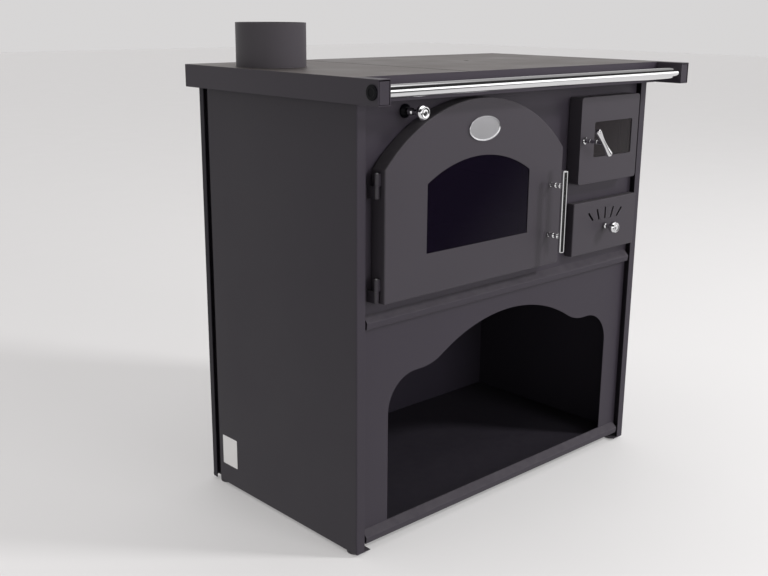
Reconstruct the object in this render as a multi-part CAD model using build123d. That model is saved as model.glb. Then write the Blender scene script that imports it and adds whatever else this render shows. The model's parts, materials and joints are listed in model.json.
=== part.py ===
"""Solid-fuel cookstove: folded steel body, arched oven door, firebox door, ash drawer and flue damper.

Millimetres. X runs across the front from the middle of the body, Y runs back from the middle of the
stove's depth, and Z runs up from the floor.
"""
from build123d import *
import math
import os

# Sheet metal and clearances
SHEET = 1.5            # body panels and doors
PLATE = 2.0            # hob frame and oven box
FIRE_PLATE = 3.0       # firebox shell
SEAL_GAP = 0.3         # door seals and sliding pieces to what they face
FIT = 0.05             # radial clearance of pins and shafts in their bores
EDGE = 1.2             # bevelled front edges of doors and drawer

# Front layout, left to right
LEFT_MARGIN = 43.5     # body side to oven door
OVEN_DOOR_W = 473.5
DOORS_GAP = 56.5       # oven door to firebox door
FIRE_DOOR_W = 197.0
RIGHT_MARGIN = 53.5    # firebox door to body side
DRAWER_INSET = 9.1     # drawer's left edge from firebox door's left edge
DRAWER_MARGIN = 24.0   # drawer's right edge from body side

# Front layout, bottom to top
FOOT_H = 5.0
THRESHOLD_LIFT = 13.3  # underside of threshold rail above body's lower edge
RAIL_H = 24.5
STORE_H = 383.2        # threshold rail to mid rail
OVEN_SILL = 22.0       # mid rail to oven door
OVEN_DOOR_H = 337.5    # to the crown of the arch
OVEN_RISE = 107.0      # shoulders to crown
DOOR_TOP_GAP = 5.0     # crown to hob frame
DRAWER_SILL = 18.5     # mid rail to drawer front
DRAWER_H = 110.5
FIRE_SILL = 41.5       # drawer front to firebox door
FIRE_TOP_GAP = 21.0    # firebox door to hob frame

# Depths
BODY_D = 457.0
FLANGE_W = 20.0        # front flange of a side panel
PANEL_SET = 12.0       # front panels behind the side panels' flanges
DOOR_STAND = 34.0      # oven door's face in front of the front panels
FIRE_STAND = 32.0      # firebox door's face in front of the front panels
DRAWER_STAND = 19.0    # drawer's face in front of the front panels
DOOR_CLEAR = 2.0       # back edge of door and drawer pans to the front panels
REAR_STRIP = 14.5      # side flange of the back cover
GROOVE = 12.5          # shadow groove between back cover and side panel
GROOVE_SET = 12.0      # how far the groove's bottom lies inside the side face

# Hob frame and towel rail
HOB_H = 41.5
HOB_SIDE = 26.5        # overhang beside the body
HOB_FRONT = 20.0       # front skirt in front of the flanges
HOB_REAR = 5.0         # overhang behind the body
HOB_PLATE = 5.0        # thickness of the cooking plates
HOB_GAP = 0.5          # plate edge to frame
HOB_LEDGE = 12.0       # width of the ledge under the plates
HOB_SEAT = 35.0        # width of the frame's lower ring that sits on the body
SEAM_IN = 250.0        # joint between the two plates, from the body's left side
SEAM_BAR = 30.0        # bar under the joint
LIFT_IN = 522.0        # lifting hole from the body's left side
LIFT_D = 10.0
LIFT_BACK = 245.0      # lifting hole behind the flanges
ARM_REACH = 80.0       # arms' front in front of the flanges
ARM_BEND_R = 4.0
CAP_GAP = 1.2
CAP_SET = 0.8
RAIL_R = 11.0
RAIL_WALL = 1.5
RAIL_BACK = 14.0       # towel rail's axis behind the arms' front
RAIL_DROP = 20.5       # towel rail's axis below the hob
PLUG_R = 12.5
PLUG_T = 2.5
PLUG_SHANK = 12.0
PLUG_DISH_R = 7.0
PLUG_DISH = 1.0

# Flue collar
FLUE_R = 64.5
FLUE_WALL = 2.0
FLUE_H = 78.5
FLUE_IN = 62.0         # collar's axis from the body's left side
FLUE_BACK = 307.0
FLUE_LIP = 7.0

# Rails, feet and lower opening
RAIL_SLOPE = 12.3      # height of a rail's sloping top
RAIL_UNDERCUT = 2.0
RAIL_END_GAP = 5.0     # rail's end to the flange
FOOT_R = 16.0
FOOT_IN = 17.0
FOOT_FRONT = 22.0
FOOT_REAR = 32.0
STUD_R = 4.0
NUT_R = 7.0
NUT_H = 6.0
BASE_FLANGE = 34.0     # bottom flange of a side panel
STORE_FLOOR = 20.0     # compartment floor above the body's lower edge
ARCH_MARGIN = 83.0     # body side to the storage opening
ARCH_CORNER_R = 69.0
ARCH_DROP = 36.5       # mid rail to crown
ARCH_RISE = 68.0       # plateau to crown
ARCH_R = 372.0
VALLEY_R = 105.0
ARCH_SHIFT = 3.5       # middle of the opening beside the middle of the body

# Oven door
OVEN_LAP = 41.5        # door's edge to oven opening
WINDOW_W = 273.0
WINDOW_SILL = 74.5     # door's lower edge to window
WINDOW_SIDE = 123.0    # straight side of the window
WINDOW_RISE = 38.0
GLASS_T = 4.0
GLASS_LAP = 12.0
LINER_INSET = 24.0     # door's edge to liner
SEAL_W = 10.0
OVEN_SEAL_T = 6.0
SEAL_LAP = 4.0         # seal to oven opening
BADGE_W = 82.5
BADGE_H = 45.0
BADGE_T = 2.5
BADGE_DROP = 54.0      # crown of the door to the middle of the plate
BADGE_SHIFT = 4.75
BADGE_RIM = 3.0
BAR_R = 6.25
BAR_L = 161.0
BAR_EDGE = 1.5
BAR_IN = 35.0          # handle bar from the door's free edge
BAR_SILL = 31.0        # handle bar's lower end above the door's lower edge
BAR_STAND = 33.0       # bar's axis in front of the door
STEM_R = 3.5
STEM_END = 31.0        # stem from the end of the bar
STEM_BEAD_R = 5.5
STEM_BEAD_L = 6.0
STEM_BEADS = (13.0, 23.0)   # middles of the beads in front of the door
CLIP_W = 16.0
CLIP_T = 1.5
CLIP_LAP = 6.0
TONGUE_W = 14.0
TONGUE_T = 3.0
TONGUE_SILL = 132.0
BLADE_T = 2.0
CATCH_REACH = 16.0     # blades in front of the front panels
CATCH_FOOT = 4.0

# Hinges
HINGE_OUT = 6.0        # hinge axis beside the door
HINGE_SET = 20.0       # hinge axis in front of the front panels
KNUCKLE_R = 4.75
PIN_R = 3.0
HINGE_L = 42.0
HINGE_END = 2.0        # lower hinge above the oven door's lower edge
HINGE_TOP = 6.0        # upper hinge below the oven door's shoulder
FIRE_HINGE_END = 12.0
LEAF_T = 1.5
LEAF_OUT = 13.0
LEAF_IN = 2.0
ARM_T = 4.0
TAB_T = 3.0
PIN_PROUD = 1.5

# Firebox door and latch
FIRE_CORNER_R = 6.0
FIRE_LINER_LATCH = 24.0    # liner from the latch side
FIRE_LINER_HINGE = 9.0
FIRE_LINER_END = 24.0
FIRE_SEAL_IN = 2.0         # liner's edge to seal
FIRE_SEAL_W = 8.0
FIRE_SEAL_T = 6.0
FIRE_SEAL_LAP = 2.0        # seal to the opening
FIRE_WINDOW_LATCH = 46.0   # window from the latch side
FIRE_WINDOW_HINGE = 22.5
FIRE_WINDOW_LOW = 52.0
FIRE_WINDOW_TOP = 50.0
FIRE_WINDOW_R = 4.0
FIRE_GLASS_LAP = 7.0
GLASS_RING = 2.0
LATCH_IN = 13.5            # spindle from the door's edge
LATCH_UP = 88.5            # spindle above the door's lower edge
SPINDLE_R = 4.0
SPINDLE_BOSS_R = 7.0
SPINDLE_BOSS_T = 3.0
LATCH_STAND = 46.0         # bar's axis in front of the door
LATCH_TILT = 41.0
LATCH_L = 68.0
LATCH_END_R = 6.5
LATCH_END_L = 5.0          # straight part of each end
LATCH_WAIST_R = 4.5
LATCH_WAIST_L = 20.0       # straight part in the middle
CAM_R = 9.0
CAM_W = 5.0
CAM_NOSE = 1.0
CAM_T = 3.0
CAM_HUB_R = 5.0
CAM_TURN = 60.0            # turn from released to latched
CAM_SET = 15.5             # cam's front behind the door's sheet
STRIKE_H = 12.0
STRIKE_LIP = 4.0
STRIKE_GAP = 0.5

# Ash drawer and air regulator
TRAY_IN = 20.0             # tray inside the drawer front's edges
TRAY_LIFT = 8.0
TRAY_H = 60.0
TRAY_END = 12.0            # tray's back edge to the firebox shell
TRAY_FRONT = 1.0           # tray's front wall behind the flanges
TRAY_FRONT_H = 20.0
CUT_CLEAR = 3.0            # cut-out round the tray
CUT_TOP = 4.0              # cut-out below the drawer front's top
AIR_X = 0.0                # regulator's axis beside the drawer's middle
AIR_UP = 52.5              # regulator's axis above the drawer's lower edge
SLOT_W = 4.5
SLOT_L = 25.0
SLOT_MIDDLES = ((0.0, 28.0), (24.3, 27.0), (49.5, 24.6))
SLOT_ANGLES = (0.0, 21.0, 43.5)
SHUTTER_R = 74.0
SHUTTER_UP = 44.0
SHUTTER_DOWN = 20.0
SHUTTER_T = 1.5
KNOB_R = 12.5
KNOB_T = 14.0
KNOB_RIM = 7.0             # height of the mushroom's straight rim
KNOB_TOP = 0.6             # radius of its flat top as a share of the rim's
KNOB_STAND = 17.0          # back of the mushroom in front of the sheet
KNOB_COLLAR_R = 6.0
KNOB_COLLAR_T = 3.5
KNOB_STEM_R = 4.0
GUIDE_T = 2.0
GUIDE_LAP = 7.0
GUIDE_H = 24.0

# Firebox
FIRE_SHELL_IN = 3.5        # shell outside the door's latch side
FIRE_SHELL_OUT = 19.5      # shell outside the door's hinge side
FIRE_DEPTH = 360.0
FIRE_BASE = 14.0           # grate frame above the drawer front
FIRE_TOP = 20.0            # shell's rim below the hob frame
BRICK_T = 25.0
BRICK_TOP = 12.0           # bricks below the shell's rim
GRATE_FRAME_T = 4.0
GRATE_T = 12.0
GRATE_CLEAR = 2.0
GRATE_LAP = 12.0
GRATE_SLOTS = 9
GRATE_SLOT_W = 9.0

# Oven
OVEN_DEPTH = 375.0
OVEN_FOOT_W = 20.0
OVEN_FOOT_IN = 60.0
RUNNER_T = 3.0
RUNNER_W = 12.0
RUNNER_UP = (60.0, 120.0)
RACK_STRIPS = 13
RACK_STRIP_W = 5.0
RACK_STRIP_T = 3.0
RACK_BAR = 7.0
RACK_H = 6.0

# Damper
DAMPER_IN = 119.0          # rod's axis from the body's left side
DAMPER_DROP = 21.0         # rod's axis below the hob frame
ROD_R = 4.0
DAMPER_STAND = 37.0        # back of the mushroom in front of the front panel
DAMPER_KNOB_R = 13.0
DAMPER_COLLAR_R = 6.5
DAMPER_COLLAR_T = 8.0
DAMPER_COLLAR_SET = 12.0
ROSE_R = 12.0
ROSE_T = 7.5
ROSE_BORE = 0.4
BAFFLE_DROP = 28.0         # top of the baffle below the hob frame
BAFFLE_T = 2.0
DAMPER_PLATE = (112.0, 115.0, 2.0)
DAMPER_HOLE = (90.0, 70.0)
DAMPER_SIDE = 3.0          # plate's edge to the lining
DAMPER_LUG = 14.0
LUG_T = 8.0

# Back cover
VENT_L = 60.0
VENT_W = 6.0
VENT_COUNT = 7
VENT_PITCH = 90.0
VENT_DROP = 60.0
SCREW_R = 4.0
SCREW_T = 2.0
SCREW_COUNT = 4
SCREW_IN = 22.0
SCREW_END = 40.0

# Planes and places that follow from the sizes
BODY_W = LEFT_MARGIN + OVEN_DOOR_W + DOORS_GAP + FIRE_DOOR_W + RIGHT_MARGIN
HALF_W = BODY_W / 2
SEAM_X = SEAM_IN - HALF_W
LIFT_X = LIFT_IN - HALF_W
FLUE_X = FLUE_IN - HALF_W
DAMPER_X = DAMPER_IN - HALF_W
ARCH_HALF_W = HALF_W - ARCH_MARGIN
FLANGE_Y = (ARM_REACH - BODY_D - HOB_REAR) / 2
BACK_Y = FLANGE_Y + BODY_D
PANEL_Y = FLANGE_Y + PANEL_SET
PANEL_BACK = PANEL_Y + SHEET
BODY_Z = FOOT_H
THRESHOLD_Z = BODY_Z + THRESHOLD_LIFT
THRESHOLD_TOP = THRESHOLD_Z + RAIL_H
MID_Z = THRESHOLD_TOP + STORE_H
MID_TOP = MID_Z + RAIL_H
OVEN_Z = MID_TOP + OVEN_SILL
TOP_Z = OVEN_Z + OVEN_DOOR_H + DOOR_TOP_GAP
HOB_Z = TOP_Z + HOB_H
DRAWER_Z = MID_TOP + DRAWER_SILL
DRAWER_TOP = DRAWER_Z + DRAWER_H
FIRE_Z = DRAWER_TOP + FIRE_SILL
FIRE_TOP_Z = TOP_Z - FIRE_TOP_GAP
OVEN_X0 = LEFT_MARGIN - HALF_W
OVEN_X1 = OVEN_X0 + OVEN_DOOR_W
OVEN_X = (OVEN_X0 + OVEN_X1) / 2
FIRE_X0 = OVEN_X1 + DOORS_GAP
FIRE_X1 = FIRE_X0 + FIRE_DOOR_W
DRAWER_X0 = FIRE_X0 + DRAWER_INSET
DRAWER_X1 = HALF_W - DRAWER_MARGIN
DRAWER_X = (DRAWER_X0 + DRAWER_X1) / 2
PANEL_HALF = HALF_W - FLANGE_W
OVEN_FACE = PANEL_Y - DOOR_STAND
FIRE_FACE = PANEL_Y - FIRE_STAND
DRAWER_FACE = PANEL_Y - DRAWER_STAND
PAN_BACK = PANEL_Y - DOOR_CLEAR
SIDE_BACK = BACK_Y - REAR_STRIP - GROOVE
LINING_BACK = SIDE_BACK - SHEET
HOB_X = HALF_W + HOB_SIDE
HOB_Y0 = FLANGE_Y - HOB_FRONT
HOB_Y1 = BACK_Y + HOB_REAR
ARM_Y = FLANGE_Y - ARM_REACH
FLOOR_Z = BODY_Z + STORE_FLOOR
SHELF_Z = MID_Z + RAIL_SLOPE
HINGE_Y = PANEL_Y - HINGE_SET
OVEN_HINGE_X = OVEN_X0 - HINGE_OUT
FIRE_HINGE_X = FIRE_X1 + HINGE_OUT
LATCH_X = FIRE_X0 + LATCH_IN
LATCH_Z = FIRE_Z + LATCH_UP
AIR_Z = DRAWER_Z + AIR_UP
DAMPER_Z = TOP_Z - DAMPER_DROP


# Shapes that many pieces share

def block(x0, x1, y0, y1, z0, z1):
    """Block between two corners."""
    return Pos((x0 + x1) / 2, (y0 + y1) / 2, (z0 + z1) / 2) * Box(x1 - x0, y1 - y0, z1 - z0)


def front(face, y0, y1):
    """Front-view outline, drawn in X and Z, made solid from y0 back to y1."""
    return extrude(Plane.XZ.offset(-y1) * face, amount=y1 - y0)


def rod_y(x, z, radius, y0, y1):
    """Round bar along Y."""
    return front(Pos(x, z) * Circle(radius), y0, y1)


def rod_x(y, z, radius, x0, x1):
    """Round bar along X."""
    return extrude(Plane.YZ.offset(x0) * (Pos(y, z) * Circle(radius)), amount=x1 - x0)


def rod_z(x, y, radius, z0, z1):
    """Round bar along Z."""
    return Pos(x, y, z0) * extrude(Circle(radius), amount=z1 - z0)


def rect(x0, x1, z0, z1):
    """Rectangle in a front view."""
    return Pos((x0 + x1) / 2, (z0 + z1) / 2) * Rectangle(x1 - x0, z1 - z0)


def arch(x, width, z, side, rise):
    """Front-view outline with straight sides under one flat arc."""
    half = width / 2
    base = Line((x + half, z), (x - half, z))
    left = Line((x - half, z), (x - half, z + side))
    crown = ThreePointArc((x - half, z + side), (x, z + side + rise), (x + half, z + side))
    right = Line((x + half, z + side), (x + half, z))
    return make_face([base, left, crown, right])


def grown(face, amount):
    """Outline moved out, or in where the amount is negative, with its corners kept."""
    return offset(face, amount, kind=Kind.INTERSECTION)


def pan(face, y0, y1, edge):
    """Sheet pan open to the back, with a bevelled front edge."""
    outer = front(face, y0, y1)
    outer = chamfer(outer.faces().sort_by(Axis.Y)[0].edges(), edge)
    inner = front(grown(face, -SHEET), y0 + SHEET, y1)
    return outer - inner


def turned(points):
    """Round piece about +Z from half of its outline, given as radius and height."""
    outline = Polyline([(r, 0, h) for r, h in points], close=True)
    return revolve(make_face(outline), Axis.Z)


def forward(x, y, z):
    """Place that turns a round piece's +Z towards the front."""
    return Pos(x, y, z) * Rot(90, 0, 0)


def save(name, shape):
    """Write one node."""
    shape.label = name
    export_step(shape, f"parts/{name}.step")


# Outlines of doors and openings

def oven_door_face():
    return arch(OVEN_X, OVEN_DOOR_W, OVEN_Z, OVEN_DOOR_H - OVEN_RISE, OVEN_RISE)


def window_face():
    return arch(OVEN_X, WINDOW_W, OVEN_Z + WINDOW_SILL, WINDOW_SIDE, WINDOW_RISE)


def fire_face(latch, hinge, low, high):
    """Rectangle inside the firebox door's edges."""
    return rect(FIRE_X0 + latch, FIRE_X1 - hinge, FIRE_Z + low, FIRE_TOP_Z - high)


def fire_liner_face(inset):
    """Rectangle inside the edges of the firebox door's liner."""
    end = FIRE_LINER_END + inset
    return fire_face(FIRE_LINER_LATCH + inset, FIRE_LINER_HINGE + inset, end, end)


def fire_window_face():
    return fire_face(FIRE_WINDOW_LATCH, FIRE_WINDOW_HINGE, FIRE_WINDOW_LOW, FIRE_WINDOW_TOP)


def drawer_cut():
    """Cut-out round the ash tray, open above it for air."""
    side = TRAY_IN - CUT_CLEAR
    low = TRAY_LIFT - CUT_CLEAR
    return rect(DRAWER_X0 + side, DRAWER_X1 - side, DRAWER_Z + low, DRAWER_TOP - CUT_TOP)


def store_opening():
    """Storage opening: upright sides, round corners, a level shoulder and a wide middle arch."""
    crown = MID_Z - ARCH_DROP
    shoulder = crown - ARCH_RISE
    spring = shoulder - ARCH_CORNER_R
    arch_z = crown - ARCH_R
    valley_z = shoulder + VALLEY_R
    reach = ARCH_R + VALLEY_R
    valley_x = math.sqrt(reach ** 2 - (valley_z - arch_z) ** 2)
    join_x = valley_x * ARCH_R / reach
    join_z = arch_z + (valley_z - arch_z) * ARCH_R / reach
    turn = math.atan2(valley_x, valley_z - arch_z) / 2
    valley_mid = (valley_x - VALLEY_R * math.sin(turn), valley_z - VALLEY_R * math.cos(turn))
    corner = ARCH_CORNER_R * math.sqrt(0.5)
    bend_x = ARCH_HALF_W - ARCH_CORNER_R
    base = THRESHOLD_TOP
    right = [
        Line((ARCH_HALF_W, base), (ARCH_HALF_W, spring)),
        ThreePointArc((ARCH_HALF_W, spring), (bend_x + corner, spring + corner), (bend_x, shoulder)),
        Line((bend_x, shoulder), (valley_x, shoulder)),
        ThreePointArc((valley_x, shoulder), valley_mid, (join_x, join_z)),
    ]
    left = [mirror(edge, Plane.YZ) for edge in right]
    middle = ThreePointArc((-join_x, join_z), (0, crown), (join_x, join_z))
    sill = Line((-ARCH_HALF_W, base), (ARCH_HALF_W, base))
    return Pos(ARCH_SHIFT, 0) * make_face(right + left + [middle, sill])


# Body shell

def side_panel():
    """Right side panel: flange, face, groove, rear flange, and a bottom flange with holes for the feet."""
    x = HALF_W
    groove_x = x - GROOVE_SET
    height = TOP_Z
    face = block(x - SHEET, x, FLANGE_Y, SIDE_BACK, BODY_Z, height)
    flange = block(x - FLANGE_W, x, FLANGE_Y, FLANGE_Y + SHEET, BODY_Z, height)
    step = block(groove_x, x, SIDE_BACK - SHEET, SIDE_BACK, BODY_Z, height)
    wall = block(groove_x, groove_x + SHEET, SIDE_BACK - SHEET, BACK_Y - SHEET, BODY_Z, height)
    rear = block(groove_x - FLANGE_W, groove_x + SHEET, BACK_Y - 2 * SHEET, BACK_Y - SHEET, BODY_Z, height)
    base = block(x - BASE_FLANGE, x, FLANGE_Y, SIDE_BACK, BODY_Z, BODY_Z + SHEET)
    panel = face + flange + step + wall + rear + base
    corner = panel.edges().filter_by(Axis.Z).group_by(Axis.X)[-1].sort_by(Axis.Y)[0]
    panel = fillet(corner, SHEET)
    for y in foot_places():
        panel -= rod_z(x - FOOT_IN, y, STUD_R + FIT, 0, MID_Z)
    return panel


def foot_places():
    return (FLANGE_Y + FOOT_FRONT, BACK_Y - FOOT_REAR)


def levelling_feet():
    """Discs under the body with a stud and a nut through the bottom flange."""
    foot = turned([(0, 0), (FOOT_R, 0), (FOOT_R, FOOT_H), (0, FOOT_H)])
    foot += rod_z(0, 0, STUD_R, FOOT_H, BODY_Z + SHEET)
    nut_z = BODY_Z + SHEET
    foot += Pos(0, 0, nut_z) * extrude(RegularPolygon(NUT_R, 6), amount=NUT_H)
    places = [(side * (HALF_W - FOOT_IN), y) for side in (-1, 1) for y in foot_places()]
    return Compound([Pos(x, y, 0) * foot for x, y in places])


def bottom_panel():
    """Compartment floor with lips down to the side panels' bottom flanges."""
    x = HALF_W - SHEET
    floor = block(-x, x, PANEL_BACK, LINING_BACK, FLOOR_Z - SHEET, FLOOR_Z)
    low = BODY_Z + SHEET
    for side in (-1, 1):
        inner = side * (x - SHEET)
        floor += block(min(side * x, inner), max(side * x, inner), PANEL_BACK, LINING_BACK, low, FLOOR_Z)
    floor += block(-PANEL_HALF, PANEL_HALF, PANEL_BACK, PANEL_BACK + SHEET, THRESHOLD_Z, FLOOR_Z)
    return floor


def back_cover():
    """Rear sheet with side flanges and a row of air slots under the hob."""
    sheet = block(-HALF_W, HALF_W, BACK_Y - SHEET, BACK_Y, BODY_Z, TOP_Z)
    for side in (-1, 1):
        outer = side * HALF_W
        inner = side * (HALF_W - SHEET)
        sheet += block(min(outer, inner), max(outer, inner), BACK_Y - REAR_STRIP, BACK_Y, BODY_Z, TOP_Z)
    first = -(VENT_COUNT - 1) / 2 * VENT_PITCH
    for i in range(VENT_COUNT):
        slot = Pos(first + i * VENT_PITCH, TOP_Z - VENT_DROP) * Rectangle(VENT_L, VENT_W)
        sheet -= front(slot, BACK_Y - SHEET, BACK_Y)
    return sheet


def cover_screws():
    """Hexagon screw heads down both edges of the back cover."""
    head = Rot(-90, 0, 0) * extrude(RegularPolygon(SCREW_R, 6), amount=SCREW_T)
    step = (TOP_Z - BODY_Z - 2 * SCREW_END) / (SCREW_COUNT - 1)
    heights = [BODY_Z + SCREW_END + i * step for i in range(SCREW_COUNT)]
    places = [(side * (HALF_W - SCREW_IN), z) for side in (-1, 1) for z in heights]
    return Compound([Pos(x, BACK_Y, z) * head for x, z in places])


def upper_front_panel():
    """Fascia with the oven's and firebox's openings, the drawer cut-out and the damper's hole."""
    split = MID_TOP - RAIL_SLOPE
    panel = front(rect(-PANEL_HALF, PANEL_HALF, split, TOP_Z), PANEL_Y, PANEL_BACK)
    panel -= front(grown(oven_door_face(), -OVEN_LAP), PANEL_Y, PANEL_BACK)
    panel -= front(fire_opening(), PANEL_Y, PANEL_BACK)
    panel -= front(drawer_cut(), PANEL_Y, PANEL_BACK)
    return panel - rod_y(DAMPER_X, DAMPER_Z, ROD_R + ROSE_BORE, PANEL_Y, PANEL_BACK)


def fire_opening():
    return fire_liner_face(FIRE_SEAL_IN + FIRE_SEAL_W + FIRE_SEAL_LAP)


def lower_front_panel():
    """Panel round the storage opening."""
    split = MID_TOP - RAIL_SLOPE
    panel = front(rect(-PANEL_HALF, PANEL_HALF, THRESHOLD_Z, split), PANEL_Y, PANEL_BACK)
    return panel - front(store_opening(), PANEL_Y, PANEL_BACK)


def folded_rail(z):
    """Nosing across the front: a sloping top, an undercut face and a flat underside, hollow inside."""
    half = HALF_W - FLANGE_W - RAIL_END_GAP
    points = [
        (PANEL_Y, z + RAIL_H),
        (FLANGE_Y, z + RAIL_H - RAIL_SLOPE),
        (FLANGE_Y + RAIL_UNDERCUT, z),
        (PANEL_Y, z),
    ]
    section = make_face(Polyline(points, close=True))
    hollow = grown(section, -SHEET)
    return extrude(Plane.YZ.offset(-half) * (section - hollow), amount=2 * half)


def inner_shell():
    """Lining behind the front panels: two walls, a back, and the shelf that carries oven and firebox."""
    x = PANEL_HALF
    back = LINING_BACK
    shell = block(-x, x, back - SHEET, back, FLOOR_Z, TOP_Z)
    shell += block(-x, -x + SHEET, PANEL_BACK, back, FLOOR_Z, TOP_Z)
    shell += block(x - SHEET, x, PANEL_BACK, back, FLOOR_Z, TOP_Z)
    shell += block(-x, x, PANEL_BACK, back, SHELF_Z - SHEET, SHELF_Z)
    return shell


# Hob

def hob_ring(width, z0, z1):
    """Level ring inside the hob frame's outline."""
    outer = block(-HOB_X, HOB_X, HOB_Y0, HOB_Y1, z0, z1)
    return outer - block(-HOB_X + width, HOB_X - width, HOB_Y0 + width, HOB_Y1 - width, z0, z1)


def arm_tube():
    """Right arm: square tube from the front skirt to the towel rail, rounded on its outer edge."""
    outer = block(HALF_W, HOB_X, ARM_Y, HOB_Y0, TOP_Z, HOB_Z)
    corner = outer.edges().filter_by(Axis.Z).group_by(Axis.X)[-1].sort_by(Axis.Y)[0]
    outer = fillet(corner, ARM_BEND_R)
    inner = block(HALF_W + PLATE, HOB_X - PLATE, ARM_Y, HOB_Y0, TOP_Z + PLATE, HOB_Z - PLATE)
    hole = rod_x(ARM_Y + RAIL_BACK, HOB_Z - RAIL_DROP, RAIL_R + FIT, HALF_W, HOB_X)
    return outer - inner - hole


def top_frame():
    """Skirt all round the hob, lower ring that sits on the body, and two arms in front."""
    skirt = hob_ring(PLATE, TOP_Z, HOB_Z)
    seat = hob_ring(HOB_SEAT + HOB_SIDE, TOP_Z, TOP_Z + PLATE)
    arm = arm_tube()
    return skirt + seat + arm + mirror(arm, Plane.YZ)


def hob_ledge():
    """Ledge inside the skirt, with a bar under the joint between the plates."""
    z1 = HOB_Z - HOB_PLATE
    z0 = z1 - PLATE
    outer = block(PLATE - HOB_X, HOB_X - PLATE, HOB_Y0 + PLATE, HOB_Y1 - PLATE, z0, z1)
    edge = PLATE + HOB_LEDGE
    inner = block(edge - HOB_X, HOB_X - edge, HOB_Y0 + edge, HOB_Y1 - edge, z0, z1)
    x0 = SEAM_X - SEAM_BAR / 2
    return outer - inner + block(x0, x0 + SEAM_BAR, HOB_Y0 + PLATE, HOB_Y1 - PLATE, z0, z1)


def arm_end_caps():
    """Plates set into the arms' front ends, each bent back along the arm's inner wall."""
    z0 = TOP_Z + PLATE
    z1 = HOB_Z - PLATE - CAP_GAP
    x0 = HALF_W + PLATE
    y0 = ARM_Y + CAP_SET
    x1 = HOB_X - PLATE - CAP_GAP
    cap = block(x0, x1, y0, y0 + SHEET, z0, z1)
    return Compound([cap, mirror(cap, Plane.YZ)])


def towel_rail():
    """Tube through both arms."""
    tube = rod_x(ARM_Y + RAIL_BACK, HOB_Z - RAIL_DROP, RAIL_R, -HOB_X, HOB_X)
    return tube - rod_x(ARM_Y + RAIL_BACK, HOB_Z - RAIL_DROP, RAIL_R - RAIL_WALL, -HOB_X, HOB_X)


def rail_end_plugs():
    """Round plugs in the tube's ends, with a sunk middle."""
    bore = RAIL_R - RAIL_WALL - FIT
    floor = PLUG_T - PLUG_DISH
    head = [(PLUG_R, 0), (PLUG_R, PLUG_T), (PLUG_DISH_R, PLUG_T), (PLUG_DISH_R, floor), (0, floor)]
    plug = turned([(0, -PLUG_SHANK), (bore, -PLUG_SHANK), (bore, 0)] + head)
    right = Pos(HOB_X, ARM_Y + RAIL_BACK, HOB_Z - RAIL_DROP) * Rot(0, 90, 0) * plug
    return Compound([right, mirror(right, Plane.YZ)])


def cooktop_plate(left):
    """Cooking plate that drops into the frame."""
    x0 = -HOB_X + PLATE + HOB_GAP if left else SEAM_X + HOB_GAP
    x1 = SEAM_X - HOB_GAP if left else HOB_X - PLATE - HOB_GAP
    y0 = HOB_Y0 + PLATE + HOB_GAP
    y1 = HOB_Y1 - PLATE - HOB_GAP
    plate = block(x0, x1, y0, y1, HOB_Z - HOB_PLATE, HOB_Z)
    if left:
        return plate - rod_z(FLUE_X, FLANGE_Y + FLUE_BACK, FLUE_R + FIT, 0, HOB_Z)
    return plate - rod_z(LIFT_X, FLANGE_Y + LIFT_BACK, LIFT_D / 2, 0, HOB_Z)


def flue_collar():
    """Smoke outlet: a tube through the left plate with a lip under the plate."""
    low = HOB_Z - HOB_PLATE
    top = HOB_Z + FLUE_H
    inner = FLUE_R - FLUE_WALL
    outer = FLUE_R + FLUE_LIP
    collar = turned([(inner, low - PLATE), (outer, low - PLATE), (outer, low), (FLUE_R, low),
                     (FLUE_R, top), (inner, top)])
    return Pos(FLUE_X, FLANGE_Y + FLUE_BACK, 0) * collar


# Hinges

def hinge_half(x, z0, z1, out):
    """Frame half of a hinge: leaf on the front panel, arm and knuckle. out is the side away from the door."""
    leaf_x = sorted((x + out * LEAF_OUT, x - out * LEAF_IN))
    leaf = block(leaf_x[0], leaf_x[1], PANEL_Y - LEAF_T, PANEL_Y, z0, z1)
    arm_x = sorted((x + out * KNUCKLE_R, x + out * (KNUCKLE_R - ARM_T)))
    arm = block(arm_x[0], arm_x[1], HINGE_Y, PANEL_Y - LEAF_T, z0, z1)
    knuckle = rod_z(x, HINGE_Y, KNUCKLE_R, z0, z1)
    return leaf + arm + knuckle - rod_z(x, HINGE_Y, PIN_R + FIT, z0, z1)


def door_half(x, z0, z1, door_x):
    """Door half of a hinge: knuckle and the tab that joins it to the side of the door."""
    tab_x = sorted((x, door_x))
    tab = block(tab_x[0], tab_x[1], HINGE_Y - KNUCKLE_R, HINGE_Y - KNUCKLE_R + TAB_T, z0, z1)
    knuckle = rod_z(x, HINGE_Y, KNUCKLE_R, z0, z1)
    return tab + knuckle - rod_z(x, HINGE_Y, PIN_R + FIT, z0, z1)


def hinge_places():
    """Axis, lower end, side away from the door and door's edge of each hinge."""
    shoulder = OVEN_Z + OVEN_DOOR_H - OVEN_RISE
    oven = [OVEN_Z + HINGE_END, shoulder - HINGE_TOP - HINGE_L]
    fire = [FIRE_Z + FIRE_HINGE_END, FIRE_TOP_Z - FIRE_HINGE_END - HINGE_L]
    left = [(OVEN_HINGE_X, z, -1, OVEN_X0) for z in oven]
    return left + [(FIRE_HINGE_X, z, 1, FIRE_X1) for z in fire]


def hinge_brackets():
    half = (HINGE_L - SEAL_GAP) / 2
    return Compound([hinge_half(x, z, z + half, out) for x, z, out, edge in hinge_places()])


def hinge_pins():
    top = HINGE_L + PIN_PROUD
    return Compound([rod_z(x, HINGE_Y, PIN_R, z, z + top) for x, z, out, edge in hinge_places()])


def door_knuckles(side):
    half = (HINGE_L - SEAL_GAP) / 2
    places = [place for place in hinge_places() if place[2] == side]
    return Compound([door_half(x, z + HINGE_L - half, z + HINGE_L, edge) for x, z, out, edge in places])


# Oven door

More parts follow.
